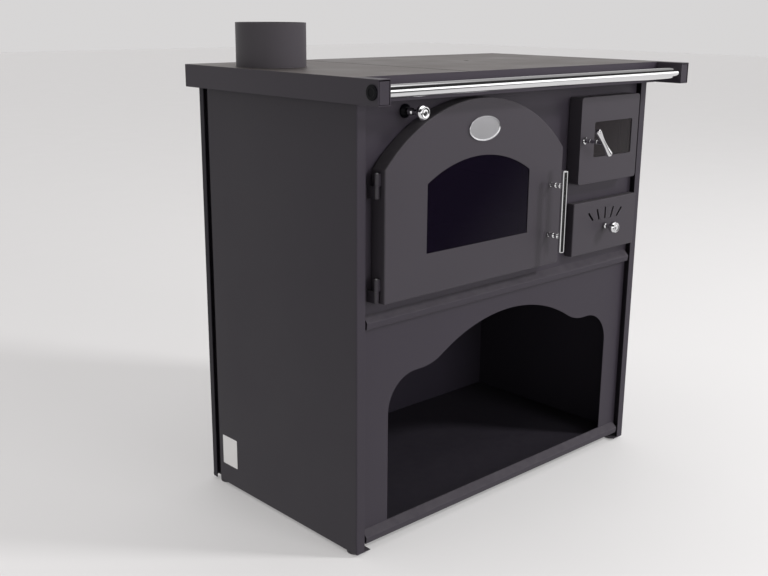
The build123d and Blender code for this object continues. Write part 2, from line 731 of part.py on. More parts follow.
def oven_door_panel():
    """Arched pan with the window cut through its face."""
    shell = pan(oven_door_face(), OVEN_FACE, PAN_BACK, EDGE)
    return shell - front(window_face(), OVEN_FACE, OVEN_FACE + SHEET)


def oven_glass_back():
    return OVEN_FACE + SHEET + GLASS_T


def oven_door_glass():
    return front(grown(window_face(), GLASS_LAP), OVEN_FACE + SHEET, oven_glass_back())


def oven_door_liner():
    """Inner sheet with a rim forward to the face and a window behind the glass."""
    back = PANEL_Y - SEAL_GAP - OVEN_SEAL_T
    outline = grown(oven_door_face(), -LINER_INSET)
    liner = front(outline, OVEN_FACE + SHEET, back)
    liner -= front(grown(outline, -SHEET), OVEN_FACE + SHEET, back - SHEET)
    return liner - front(grown(window_face(), GLASS_LAP - CLIP_LAP), back - SHEET, back)


def oven_door_gasket():
    """Seal between the liner and the front panel, all round the oven opening."""
    outer = grown(oven_door_face(), SEAL_W + SEAL_LAP - OVEN_LAP)
    inner = grown(oven_door_face(), SEAL_LAP - OVEN_LAP)
    back = PANEL_Y - SEAL_GAP
    return front(outer - inner, back - OVEN_SEAL_T, back)


def oven_glass_clips():
    """Clips on the face's inner side that hold the glass by its straight edges."""
    glass = oven_glass_back()
    half = WINDOW_W / 2 + GLASS_LAP
    low = OVEN_Z + WINDOW_SILL - GLASS_LAP
    clips = []
    for z in (low + CLIP_W, OVEN_Z + WINDOW_SILL + WINDOW_SIDE - CLIP_W):
        for side in (-1, 1):
            edge = OVEN_X + side * half
            foot_x = sorted((edge, edge + side * CLIP_LAP))
            lip_x = sorted((edge - side * CLIP_LAP, edge + side * CLIP_LAP))
            foot = block(foot_x[0], foot_x[1], OVEN_FACE + SHEET, glass, z - CLIP_W / 2, z + CLIP_W / 2)
            lip = block(lip_x[0], lip_x[1], glass, glass + CLIP_T, z - CLIP_W / 2, z + CLIP_W / 2)
            clips.append(foot + lip)
    for x in (OVEN_X - WINDOW_W / 4, OVEN_X + WINDOW_W / 4):
        foot = block(x - CLIP_W / 2, x + CLIP_W / 2, OVEN_FACE + SHEET, glass, low - CLIP_LAP, low)
        lip = block(x - CLIP_W / 2, x + CLIP_W / 2, glass, glass + CLIP_T, low - CLIP_LAP, low + CLIP_LAP)
        clips.append(foot + lip)
    return Compound(clips)


def oven_badge_plate():
    """Bare oval plate with a raised rim on the door."""
    x = OVEN_X + BADGE_SHIFT
    z = OVEN_Z + OVEN_DOOR_H - BADGE_DROP
    rim = front(Pos(x, z) * Ellipse(BADGE_W / 2, BADGE_H / 2), OVEN_FACE - BADGE_T, OVEN_FACE)
    field = Pos(x, z) * Ellipse(BADGE_W / 2 - BADGE_RIM, BADGE_H / 2 - BADGE_RIM)
    return rim - front(field, OVEN_FACE - BADGE_T, OVEN_FACE - BADGE_T / 2)


def oven_bar_place():
    return OVEN_X1 - BAR_IN, OVEN_FACE - BAR_STAND, OVEN_Z + BAR_SILL


def oven_handle_bar():
    """Upright bar with rounded ends."""
    x, y, z = oven_bar_place()
    bar = rod_z(x, y, BAR_R, z, z + BAR_L)
    return chamfer(bar.edges().filter_by(GeomType.CIRCLE), BAR_EDGE)


def oven_handle_stems():
    """Two stems with turned beads, coped to the bar."""
    x, y, z = oven_bar_place()
    r = STEM_R
    outline = [(0, 0), (r, 0)]
    for middle in STEM_BEADS:
        low = middle - STEM_BEAD_L / 2
        high = middle + STEM_BEAD_L / 2
        outline += [(r, low), (STEM_BEAD_R, low), (STEM_BEAD_R, high), (r, high)]
    outline += [(r, BAR_STAND), (0, BAR_STAND)]
    stem = turned(outline)
    bar = rod_z(x, y, BAR_R, z, z + BAR_L)
    return Compound([forward(x, OVEN_FACE, h) * stem - bar for h in (z + STEM_END, z + BAR_L - STEM_END)])


def oven_door_tongue():
    """Flat tongue inside the door's free edge."""
    x1 = OVEN_X1 - 2 * SHEET - STRIKE_LIP
    z = OVEN_Z + TONGUE_SILL
    return block(x1 - TONGUE_W, x1, OVEN_FACE + SHEET, PAN_BACK - SHEET, z, z + TONGUE_T)


def oven_door_catch():
    """Two spring blades on the front panel, above and below the tongue."""
    x1 = OVEN_X1 - 2 * SHEET - STRIKE_LIP
    z = OVEN_Z + TONGUE_SILL
    low = z - SEAL_GAP
    high = z + TONGUE_T + SEAL_GAP
    y0 = PANEL_Y - CATCH_REACH
    foot0 = low - BLADE_T - CATCH_FOOT
    foot1 = high + BLADE_T + CATCH_FOOT
    catch = block(x1 - TONGUE_W, x1, PANEL_Y - LEAF_T, PANEL_Y, foot0, foot1)
    catch += block(x1 - TONGUE_W, x1, y0, PANEL_Y - LEAF_T, low - BLADE_T, low)
    return catch + block(x1 - TONGUE_W, x1, y0, PANEL_Y - LEAF_T, high, high + BLADE_T)


# Firebox door

def firebox_door_panel():
    """Flat pan with round corners, a window, and a hole for the latch spindle."""
    outline = fire_face(0, 0, 0, 0)
    outline = fillet(outline.vertices(), FIRE_CORNER_R)
    shell = pan(outline, FIRE_FACE, PAN_BACK, EDGE)
    window = fillet(fire_window_face().vertices(), FIRE_WINDOW_R)
    shell -= front(window, FIRE_FACE, FIRE_FACE + SHEET)
    return shell - rod_y(LATCH_X, LATCH_Z, SPINDLE_R + FIT, FIRE_FACE, FIRE_FACE + SHEET)


def fire_glass_back():
    return FIRE_FACE + SHEET + GLASS_T


def firebox_door_glass():
    return front(grown(fire_window_face(), FIRE_GLASS_LAP), FIRE_FACE + SHEET, fire_glass_back())


def firebox_glass_frame():
    """Frame screwed behind the glass, with a rim round the glass's edge."""
    glass = grown(fire_window_face(), FIRE_GLASS_LAP)
    outer = grown(glass, GLASS_RING)
    back = fire_glass_back()
    rim = front(outer - glass, FIRE_FACE + SHEET, back)
    return rim + front(outer - fire_window_face(), back, back + SHEET)


def firebox_door_liner():
    """Inner sheet with a rim forward to the face and a window behind the glass."""
    back = PANEL_Y - SEAL_GAP - FIRE_SEAL_T
    liner = front(fire_liner_face(0), FIRE_FACE + SHEET, back)
    liner -= front(fire_liner_face(SHEET), FIRE_FACE + SHEET, back - SHEET)
    return liner - front(fire_window_face(), back - SHEET, back)


def firebox_door_gasket():
    """Seal between the liner and the front panel, all round the firebox opening."""
    back = PANEL_Y - SEAL_GAP
    ring = fire_liner_face(FIRE_SEAL_IN) - fire_liner_face(FIRE_SEAL_IN + FIRE_SEAL_W)
    return front(ring, back - FIRE_SEAL_T, back)


# Firebox latch

def latch_bar_y():
    return FIRE_FACE - LATCH_STAND


def latch_bar():
    """Turned bar, thin in the middle and flared to its ends."""
    half = LATCH_L / 2
    end = LATCH_END_R
    outline = [(0, -half), (end, -half), (end, LATCH_END_L - half), (LATCH_WAIST_R, -LATCH_WAIST_L / 2)]
    outline += [(r, -h) for r, h in reversed(outline)]
    bar = turned(outline)
    return Pos(LATCH_X, latch_bar_y(), LATCH_Z) * Rot(0, -LATCH_TILT, 0) * bar


def latch_spindle():
    """Spindle through the door, with a collar in front of the sheet, coped to the bar."""
    spindle = rod_y(LATCH_X, LATCH_Z, SPINDLE_R, latch_bar_y(), cam_front())
    collar_y = FIRE_FACE - SEAL_GAP
    spindle += rod_y(LATCH_X, LATCH_Z, SPINDLE_BOSS_R, collar_y - SPINDLE_BOSS_T, collar_y)
    waist = Rot(0, -LATCH_TILT, 0) * Cylinder(LATCH_WAIST_R, LATCH_WAIST_L)
    return spindle - Pos(LATCH_X, latch_bar_y(), LATCH_Z) * waist


def cam_front():
    return FIRE_FACE + SHEET + CAM_SET


def latch_cam():
    """Finger on the spindle's end, turned down out of the strike in the released place."""
    finger = chamfer((Pos(CAM_R / 2, 0) * Rectangle(CAM_R, CAM_W)).vertices().sort_by(Axis.X)[-2:], CAM_NOSE)
    outline = Circle(CAM_HUB_R) + Rot(0, 0, 180 + CAM_TURN) * finger
    return front(Pos(LATCH_X, LATCH_Z) * outline, cam_front(), cam_front() + CAM_T)


def firebox_strike():
    """Hooked bracket on the front panel: the turned cam sits behind its lip."""
    wall_x = LATCH_X - CAM_R - STRIKE_GAP - SHEET
    lip_y = cam_front() - STRIKE_GAP
    z0 = LATCH_Z - STRIKE_H / 2
    z1 = z0 + STRIKE_H
    foot_x = wall_x + 2 * STRIKE_LIP
    foot = block(wall_x, foot_x, PANEL_Y - LEAF_T, PANEL_Y, z0 - STRIKE_H, z1 + STRIKE_H)
    wall = block(wall_x, wall_x + SHEET, lip_y - SHEET, PANEL_Y - LEAF_T, z0, z1)
    return foot + wall + block(wall_x, wall_x + STRIKE_LIP, lip_y - SHEET, lip_y, z0, z1)


# Ash drawer

def regulator_slots():
    """Fan of slots above the regulator's knob."""
    slots = []
    for (x, z), angle in zip(SLOT_MIDDLES, SLOT_ANGLES):
        slot = Pos(x, z) * Rot(0, 0, 90 - angle) * Rectangle(SLOT_L, SLOT_W)
        slots.append(slot)
        if x:
            slots.append(mirror(slot, Plane.YZ))
    return [Pos(DRAWER_X + AIR_X, AIR_Z) * slot for slot in slots]


def ash_drawer_front():
    """Pan with the fan of slots and the regulator's bore."""
    shell = pan(rect(DRAWER_X0, DRAWER_X1, DRAWER_Z, DRAWER_TOP), DRAWER_FACE, PAN_BACK, EDGE)
    for slot in regulator_slots():
        shell -= front(slot, DRAWER_FACE, DRAWER_FACE + SHEET)
    return shell - rod_y(DRAWER_X + AIR_X, AIR_Z, KNOB_STEM_R + FIT, DRAWER_FACE, DRAWER_FACE + SHEET)


def tray_room():
    """Outline of the ash tray: left, right, back, floor."""
    return DRAWER_X0 + TRAY_IN, DRAWER_X1 - TRAY_IN, fire_inside()[3] - TRAY_END, DRAWER_Z + TRAY_LIFT


def ash_drawer_tray():
    """Floor and sides of the open tray, which reach forward to the drawer front."""
    x0, x1, y1, z0 = tray_room()
    y0 = DRAWER_FACE + SHEET
    tray = block(x0, x1, y0, y1, z0, z0 + TRAY_H)
    return tray - block(x0 + SHEET, x1 - SHEET, y0, y1, z0 + SHEET, z0 + TRAY_H)


def ash_tray_ends():
    """Back wall of the tray and its low front wall."""
    x0, x1, y1, z0 = tray_room()
    wall_y = FLANGE_Y + TRAY_FRONT
    low = block(x0 + SHEET, x1 - SHEET, wall_y, wall_y + SHEET, z0 + SHEET, z0 + TRAY_FRONT_H)
    return Compound([low, block(x0 + SHEET, x1 - SHEET, y1 - SHEET, y1, z0 + SHEET, z0 + TRAY_H)])


def air_shutter():
    """Turning plate behind the drawer front, slotted like it."""
    x = DRAWER_X + AIR_X
    y0 = DRAWER_FACE + SHEET + SEAL_GAP
    band = rect(x - SHUTTER_R, x + SHUTTER_R, AIR_Z - SHUTTER_DOWN, AIR_Z + SHUTTER_UP)
    plate = front((Pos(x, AIR_Z) * Circle(SHUTTER_R)) & band, y0, y0 + SHUTTER_T)
    for slot in regulator_slots():
        plate -= front(slot, y0, y0 + SHUTTER_T)
    return plate


def knob_head(radius, stand):
    """Half outline of a mushroom head whose flat back is stand above the start of its stem."""
    top = stand + KNOB_T
    return [(radius, stand), (radius, stand + KNOB_RIM), (radius * KNOB_TOP, top), (0, top)]


def air_knob():
    """Knob whose stem passes through the drawer front and carries the shutter."""
    inner = SHEET + SEAL_GAP
    low = inner + SEAL_GAP
    high = low + KNOB_COLLAR_T
    stand = inner + KNOB_STAND
    stem = [(0, 0), (KNOB_STEM_R, 0), (KNOB_STEM_R, low), (KNOB_COLLAR_R, low), (KNOB_COLLAR_R, high)]
    stem += [(KNOB_STEM_R, high), (KNOB_STEM_R, stand)]
    return forward(DRAWER_X + AIR_X, DRAWER_FACE + inner, AIR_Z) * turned(stem + knob_head(KNOB_R, stand))


def ash_guides():
    """Angle on each side of the ash pit that carries the tray."""
    low = DRAWER_Z + TRAY_LIFT - SEAL_GAP
    y1 = PANEL_BACK + FIRE_DEPTH - FIRE_PLATE
    wall0 = FIRE_X0 - FIRE_SHELL_IN + FIRE_PLATE
    wall1 = FIRE_X1 + FIRE_SHELL_OUT - FIRE_PLATE
    left = block(wall0, wall0 + GUIDE_T, PANEL_BACK, y1, low - GUIDE_H, low)
    left += block(wall0, DRAWER_X0 + TRAY_IN + GUIDE_LAP, PANEL_BACK, y1, low - GUIDE_T, low)
    right = block(wall1 - GUIDE_T, wall1, PANEL_BACK, y1, low - GUIDE_H, low)
    right += block(DRAWER_X1 - TRAY_IN - GUIDE_LAP, wall1, PANEL_BACK, y1, low - GUIDE_T, low)
    return Compound([left, right])


# Firebox

def fire_inside():
    """Inner width and depth of the firebox shell."""
    x0 = FIRE_X0 - FIRE_SHELL_IN + FIRE_PLATE
    x1 = FIRE_X1 + FIRE_SHELL_OUT - FIRE_PLATE
    return x0, x1, PANEL_BACK, PANEL_BACK + FIRE_DEPTH - FIRE_PLATE


def firebox_shell():
    """Three steel walls from the shelf to just under the hob; the ash pit is their lower part."""
    x0, x1, y0, y1 = fire_inside()
    top = TOP_Z - FIRE_TOP
    shell = block(x0 - FIRE_PLATE, x1 + FIRE_PLATE, y0, y1 + FIRE_PLATE, SHELF_Z, top)
    return shell - block(x0, x1, y0, y1, SHELF_Z, top)


def grate_z():
    return DRAWER_TOP + FIRE_BASE


def brick_inside():
    x0, x1, y0, y1 = fire_inside()
    return x0 + BRICK_T, x1 - BRICK_T, y0, y1 - BRICK_T


def firebricks():
    """Brick slabs against the two sides and the back, standing on the grate frame."""
    x0, x1, y0, y1 = fire_inside()
    bx0, bx1, by0, by1 = brick_inside()
    z0 = grate_z() + GRATE_FRAME_T
    z1 = TOP_Z - FIRE_TOP - BRICK_TOP
    left = block(x0, bx0, y0, y1, z0, z1)
    right = block(bx1, x1, y0, y1, z0, z1)
    return Compound([left, right, block(bx0, bx1, by1, y1, z0, z1)])


def grate_hole():
    x0, x1, y0, y1 = brick_inside()
    lap = GRATE_CLEAR + GRATE_LAP
    return x0 + lap, x1 - lap, y0 + BRICK_T + lap, y1 - lap


def grate_frame():
    """Plate across the firebox with a hole under the grate."""
    x0, x1, y0, y1 = fire_inside()
    hx0, hx1, hy0, hy1 = grate_hole()
    z = grate_z()
    plate = block(x0, x1, y0, y1, z, z + GRATE_FRAME_T)
    return plate - block(hx0, hx1, hy0, hy1, z, z + GRATE_FRAME_T)


def fire_grate():
    """Cast grate with slots from side to side."""
    hx0, hx1, hy0, hy1 = grate_hole()
    z = grate_z() + GRATE_FRAME_T
    plate = block(hx0 - GRATE_LAP, hx1 + GRATE_LAP, hy0 - GRATE_LAP, hy1 + GRATE_LAP, z, z + GRATE_T)
    pitch = (hy1 - hy0) / GRATE_SLOTS
    for i in range(GRATE_SLOTS):
        y = hy0 + (i + 0.5) * pitch
        plate -= block(hx0, hx1, y - GRATE_SLOT_W / 2, y + GRATE_SLOT_W / 2, z, z + GRATE_T)
    return plate


# Oven

def oven_opening():
    return grown(oven_door_face(), -OVEN_LAP)


def oven_box():
    """Arched box behind the oven opening, on two feet that stand on the shelf."""
    y1 = PANEL_BACK + OVEN_DEPTH
    box = front(grown(oven_opening(), PLATE), PANEL_BACK, y1)
    box -= front(oven_opening(), PANEL_BACK, y1 - PLATE)
    low = OVEN_Z + OVEN_LAP - PLATE
    half = OVEN_DOOR_W / 2 - OVEN_LAP
    for side in (-1, 1):
        x = OVEN_X + side * (half - OVEN_FOOT_IN)
        box += block(x - OVEN_FOOT_W / 2, x + OVEN_FOOT_W / 2, PANEL_BACK, y1, SHELF_Z, low)
    return box


def oven_shelf_runners():
    """Two pairs of ledges on the oven's side walls."""
    half = OVEN_DOOR_W / 2 - OVEN_LAP
    y1 = PANEL_BACK + OVEN_DEPTH - PLATE
    runners = []
    for up in RUNNER_UP:
        z = OVEN_Z + OVEN_LAP + up
        for side in (-1, 1):
            wall = OVEN_X + side * half
            x = sorted((wall, wall - side * RUNNER_W))
            runners.append(block(x[0], x[1], PANEL_BACK, y1, z, z + RUNNER_T))
    return Compound(runners)


def oven_rack():
    """Rack on the lower runners: flat strips between the bars of a frame."""
    half = OVEN_DOOR_W / 2 - OVEN_LAP - GRATE_CLEAR
    z0 = OVEN_Z + OVEN_LAP + RUNNER_UP[0] + RUNNER_T
    z1 = z0 + RACK_H
    y0 = PANEL_BACK + RUNNER_W
    y1 = PANEL_BACK + OVEN_DEPTH - RUNNER_W
    x0 = OVEN_X - half
    x1 = OVEN_X + half
    rack = block(x0, x1, y0, y1, z0, z1)
    rack -= block(x0 + RACK_BAR, x1 - RACK_BAR, y0 + RACK_BAR, y1 - RACK_BAR, z0, z1)
    pitch = (x1 - x0) / (RACK_STRIPS + 1)
    for i in range(RACK_STRIPS):
        x = x0 + (i + 1) * pitch
        strip = (x - RACK_STRIP_W / 2, x + RACK_STRIP_W / 2, y0 + RACK_BAR, y1 - RACK_BAR)
        rack += block(*strip, z1 - RACK_STRIP_T, z1)
    return rack


# Damper

def smoke_baffle():
    """Level plate over the oven with a smoke hole under the flue collar."""
    z = TOP_Z - BAFFLE_DROP
    x0 = -PANEL_HALF + SHEET
    x1 = FIRE_X0 - FIRE_SHELL_IN
    plate = block(x0, x1, PANEL_BACK, LINING_BACK - SHEET, z - BAFFLE_T, z)
    x, y = damper_middle()
    long, deep = DAMPER_HOLE
    return plate - block(x - long / 2, x + long / 2, y - deep / 2, y + deep / 2, z - BAFFLE_T, z)


def damper_middle():
    """Middle of the smoke hole and of the closed plate."""
    return SHEET - PANEL_HALF + DAMPER_SIDE + DAMPER_PLATE[0] / 2, FLANGE_Y + FLUE_BACK


def damper_plate():
    """Sliding plate over the smoke hole with a lug for the rod."""
    wide, deep, thick = DAMPER_PLATE
    x, y = damper_middle()
    z = TOP_Z - BAFFLE_DROP + SEAL_GAP
    plate = block(x - wide / 2, x + wide / 2, y - deep / 2, y + deep / 2, z, z + thick)
    y0 = y - deep / 2
    lug_top = DAMPER_Z + ROD_R
    half = DAMPER_LUG / 2
    return plate + block(DAMPER_X - half, DAMPER_X + half, y0, y0 + LUG_T, z + thick, lug_top)


def damper_rod():
    """Rod from its mushroom knob to the lug on the plate, with a collar in front of the panel."""
    lug_y = damper_middle()[1] - DAMPER_PLATE[1] / 2
    front_y = PANEL_Y - DAMPER_STAND
    rod = rod_y(DAMPER_X, DAMPER_Z, ROD_R, front_y, lug_y)
    rod += forward(DAMPER_X, front_y, DAMPER_Z) * turned([(0, 0)] + knob_head(DAMPER_KNOB_R, 0))
    collar_y = PANEL_Y - DAMPER_COLLAR_SET
    return rod + rod_y(DAMPER_X, DAMPER_Z, DAMPER_COLLAR_R, collar_y - DAMPER_COLLAR_T, collar_y)


def damper_escutcheon():
    """Round rose on the front panel with the rod's hole."""
    rose = rod_y(DAMPER_X, DAMPER_Z, ROSE_R, PANEL_Y - ROSE_T, PANEL_Y)
    return rose - rod_y(DAMPER_X, DAMPER_Z, ROD_R + FIT, PANEL_Y - ROSE_T, PANEL_Y)


# Nodes

NODES = {
    "left_side_panel": lambda: mirror(side_panel(), Plane.YZ),
    "right_side_panel": side_panel,
    "back_cover": back_cover,
    "cover_screws": cover_screws,
    "bottom_panel": bottom_panel,
    "levelling_feet": levelling_feet,
    "upper_front_panel": upper_front_panel,
    "lower_front_panel": lower_front_panel,
    "mid_rail": lambda: folded_rail(MID_Z),
    "threshold_rail": lambda: folded_rail(THRESHOLD_Z),
    "inner_shell": inner_shell,
    "top_frame": top_frame,
    "hob_ledge": hob_ledge,
    "arm_end_caps": arm_end_caps,
    "towel_rail": towel_rail,
    "rail_end_plugs": rail_end_plugs,
    "cooktop_left_plate": lambda: cooktop_plate(True),
    "cooktop_right_plate": lambda: cooktop_plate(False),
    "flue_collar": flue_collar,
    "hinge_brackets": hinge_brackets,
    "hinge_pins": hinge_pins,
    "oven_box": oven_box,
    "oven_shelf_runners": oven_shelf_runners,
    "oven_rack": oven_rack,
    "oven_door_catch": oven_door_catch,
    "firebox_shell": firebox_shell,
    "firebricks": firebricks,
    "grate_frame": grate_frame,
    "fire_grate": fire_grate,
    "firebox_strike": firebox_strike,
    "ash_guides": ash_guides,
    "smoke_baffle": smoke_baffle,
    "damper_escutcheon": damper_escutcheon,
    "oven_door_panel": oven_door_panel,
    "oven_door_glass": oven_door_glass,
    "oven_glass_clips": oven_glass_clips,
    "oven_door_liner": oven_door_liner,
    "oven_door_gasket": oven_door_gasket,
    "oven_badge_plate": oven_badge_plate,
    "oven_handle_bar": oven_handle_bar,
    "oven_handle_stems": oven_handle_stems,
    "oven_door_tongue": oven_door_tongue,
    "oven_door_knuckles": lambda: door_knuckles(-1),
    "firebox_door_panel": firebox_door_panel,
    "firebox_door_glass": firebox_door_glass,
    "firebox_glass_frame": firebox_glass_frame,
    "firebox_door_liner": firebox_door_liner,
    "firebox_door_gasket": firebox_door_gasket,
    "firebox_door_knuckles": lambda: door_knuckles(1),
    "latch_bar": latch_bar,
    "latch_spindle": latch_spindle,
    "latch_cam": latch_cam,
    "ash_drawer_front": ash_drawer_front,
    "ash_drawer_tray": ash_drawer_tray,
    "ash_tray_ends": ash_tray_ends,
    "air_shutter": air_shutter,
    "air_knob": air_knob,
    "damper_rod": damper_rod,
    "damper_plate": damper_plate,
}

os.makedirs("parts", exist_ok=True)
for node, make in NODES.items():
    save(node, make())
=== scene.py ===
"""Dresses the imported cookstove: finishes, rounded sheet metal, turned trim, floor, light and camera.

The CAD nodes give every place. A class for each sub-assembly holds the sizes that only the looks need.
Lengths are metres unless a name ends in _mm. X runs across the front, Y to the back and Z up.
"""

import json
import logging
import math
from dataclasses import dataclass
from enum import Enum
from typing import Iterable, Sequence

import bmesh
import bpy
from bmesh.types import BMEdge, BMFace, BMVert
from bpy.types import Material, Node, NodeSocket, Object, ShaderNodeTree
from mathutils import Euler, Matrix, Vector


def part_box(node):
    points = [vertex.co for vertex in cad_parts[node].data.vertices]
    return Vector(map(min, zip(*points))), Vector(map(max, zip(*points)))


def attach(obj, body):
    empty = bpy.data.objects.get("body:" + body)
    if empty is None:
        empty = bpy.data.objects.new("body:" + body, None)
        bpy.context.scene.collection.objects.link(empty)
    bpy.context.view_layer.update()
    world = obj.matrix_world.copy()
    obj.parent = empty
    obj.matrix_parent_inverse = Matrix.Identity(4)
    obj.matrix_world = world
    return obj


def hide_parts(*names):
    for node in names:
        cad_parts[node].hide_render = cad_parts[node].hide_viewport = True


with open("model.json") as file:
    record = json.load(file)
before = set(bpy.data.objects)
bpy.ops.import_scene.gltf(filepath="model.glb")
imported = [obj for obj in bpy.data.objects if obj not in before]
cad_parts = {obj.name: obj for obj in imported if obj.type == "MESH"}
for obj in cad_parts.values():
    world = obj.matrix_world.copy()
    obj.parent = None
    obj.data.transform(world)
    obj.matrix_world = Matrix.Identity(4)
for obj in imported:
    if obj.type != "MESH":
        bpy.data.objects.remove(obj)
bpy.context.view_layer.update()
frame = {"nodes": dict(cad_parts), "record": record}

MM = 0.001
RIGHTWARD = Vector((1.0, 0.0, 0.0))
BACKWARD = Vector((0.0, 1.0, 0.0))
UPWARD = Vector((0.0, 0.0, 1.0))
ROUND_END = 0.98
Colour = tuple[float, float, float]
Outline = Sequence[tuple[float, float]]
Tones = Sequence[tuple[float, float]]
log = logging.getLogger("cookstove")


class Side(Enum):
    """Left or right as seen from the front."""

    LEFT = -1
    RIGHT = 1


class Facing(Enum):
    """Way that a turned piece's own +Z points once it is in place."""

    UP = (0.0, 0.0, 0.0)
    FRONT = (math.pi / 2, 0.0, 0.0)
    REAR = (-math.pi / 2, 0.0, 0.0)
    LEFT = (0.0, -math.pi / 2, 0.0)
    RIGHT = (0.0, math.pi / 2, 0.0)


# Shader trees

class Graph:
    """Shader tree being filled: adds nodes and joins their sockets."""

    def __init__(self, tree: ShaderNodeTree) -> None:
        """Keeps the tree."""
        self.tree = tree

    def add(self, kind: str, values: dict | None = None, **settings: object) -> Node:
        """Adds a node.

        Args:
            kind: the node's type name without its "ShaderNode" start.
            values: plain values by input name or number, or sockets to join to them.
            **settings: the node's own properties.

        Returns:
            The new node.
        """
        node = self.tree.nodes.new("ShaderNode" + kind)
        for key, value in settings.items():
            setattr(node, key, value)
        self.feed(node, values or {})
        return node

    def feed(self, node: Node, values: dict) -> None:
        """Fills a node's inputs.

        Args:
            node: the node.
            values: plain values by input name or number, or sockets to join to them.
        """
        for key, value in values.items():
            if isinstance(value, NodeSocket):
                self.tree.links.new(value, node.inputs[key])
            else:
                node.inputs[key].default_value = value

    def point(self) -> NodeSocket:
        """Returns the point's place in metres, in the frame of the whole stove."""
        return self.add("TexCoord").outputs["Object"]

    def rise(self) -> NodeSocket:
        """Returns how far the surface looks up, from -1 to 1."""
        normal = self.add("NewGeometry").outputs["Normal"]
        return self.add("SeparateXYZ", {"Vector": normal}).outputs["Z"]

    def math(self, operation: str, first: object, second: object = 0.0) -> NodeSocket:
        """Adds a Math node and returns its result."""
        return self.add("Math", {0: first, 1: second}, operation=operation).outputs[0]

    def spread(self, value: NodeSocket, low: float, high: float) -> NodeSocket:
        """Maps 0 to 1 onto low to high and returns the result."""
        return self.add("MapRange", {"Value": value, "To Min": low, "To Max": high}).outputs["Result"]

    def share(self, value: NodeSocket, low: float, high: float) -> NodeSocket:
        """Maps low to high onto 0 to 1 and returns the result."""
        return self.add("MapRange", {"Value": value, "From Min": low, "From Max": high}).outputs["Result"]

    def noise(self, place: NodeSocket, scale: object, detail: float, roughness: float) -> NodeSocket:
        """Adds noise and returns it, from 0 to 1."""
        values = {"Vector": place, "Scale": scale, "Detail": detail, "Roughness": roughness}
        return self.add("TexNoise", values).outputs["Fac"]

    def mix(self, factor: NodeSocket, first: object, second: object) -> NodeSocket:
        """Mixes two colours and returns the result."""
        values = {"Factor": factor, "A": first, "B": second}
        return self.add("Mix", values, data_type="RGBA").outputs["Result"]

    def bump(self, strength: float, depth: float, height: NodeSocket) -> NodeSocket:
        """Adds a Bump node and returns its normal."""
        values = {"Strength": strength, "Distance": depth, "Height": height}
        return self.add("Bump", values).outputs["Normal"]


class Effect:
    """Node group that more than one finish uses, built the first time it is asked for."""

    name = "effect"
    numbers: dict[str, float] = {}
    outputs: tuple[str, ...] = ()

    @classmethod
    def place(cls, graph: Graph, **values: float) -> Node:
        """Puts the group in a material.

        Args:
            graph: the material's tree.
            **values: the group's inputs by name.

        Returns:
            The group's node.
        """
        tree = bpy.data.node_groups.get(cls.name) or cls.build()
        node = graph.tree.nodes.new("ShaderNodeGroup")
        node.node_tree = tree
        for key, value in values.items():
            node.inputs[key].default_value = value
        return node

    @classmethod
    def build(cls) -> ShaderNodeTree:
        """Makes the group's sockets and fills it.

        Returns:
            The new node group.
        """
        tree = bpy.data.node_groups.new(cls.name, "ShaderNodeTree")
        for key, value in cls.numbers.items():
            socket = tree.interface.new_socket(key, in_out="INPUT", socket_type="NodeSocketFloat")
            socket.default_value = value
        for key in cls.outputs:
            tree.interface.new_socket(key, in_out="OUTPUT", socket_type="NodeSocketFloat")
        graph = Graph(tree)
        inside = tree.nodes.new("NodeGroupInput")
        results = cls.fill(graph, inside)
        outside = tree.nodes.new("NodeGroupOutput")
        for key, value in results.items():
            tree.links.new(value, outside.inputs[key])
        return tree

    @classmethod
    def fill(cls, graph: Graph, inside: Node) -> dict[str, NodeSocket]:
        """Adds the effect's nodes and returns its results by output name."""
        raise NotImplementedError


class PaintGrain(Effect):
    """Fine texture of baked powder coat, with cloudy patches that the spray leaves."""

    name = "paint_grain"
    numbers = {"Grains per metre": 700.0, "Patches per metre": 5.0}
    outputs = ("Height", "Speckle", "Patch")

    @classmethod
    def fill(cls, graph: Graph, inside: Node) -> dict[str, NodeSocket]:
        """Adds two scales of grain and one of patches.

        Args:
            graph: the group's tree.
            inside: the group's input node.

        Returns:
            Height of the grain, a fine speckle and the patches, each from 0 to 1.
        """
        place = graph.point()
        grains = inside.outputs["Grains per metre"]
        fine = graph.noise(place, grains, detail=2.0, roughness=0.6)
        cells = graph.add("TexVoronoi", {"Vector": place, "Scale": grains}, feature="SMOOTH_F1")
        both = graph.math("ADD", fine, cells.outputs["Distance"])
        cloud = graph.noise(place, inside.outputs["Patches per metre"], detail=4.0, roughness=0.55)
        return {"Height": graph.math("MULTIPLY", both, 0.5), "Speckle": fine, "Patch": cloud}


class SettledDust(Effect):
    """Pale dust on faces that look up, thin and uneven."""

    name = "settled_dust"
    numbers = {"Amount": 0.1, "Specks per metre": 60.0}
    outputs = ("Mask",)

    @classmethod
    def fill(cls, graph: Graph, inside: Node) -> dict[str, NodeSocket]:
        """Multiplies an upward slope mask by broken noise.

        Args:
            graph: the group's tree.
            inside: the group's input node.

        Returns:
            The dust's mask.
        """
        level = graph.math("MAXIMUM", graph.rise(), 0.0)
        specks = graph.noise(graph.point(), inside.outputs["Specks per metre"], detail=6.0, roughness=0.7)
        broken = graph.math("MULTIPLY", specks, level)
        return {"Mask": graph.math("MULTIPLY", broken, inside.outputs["Amount"])}


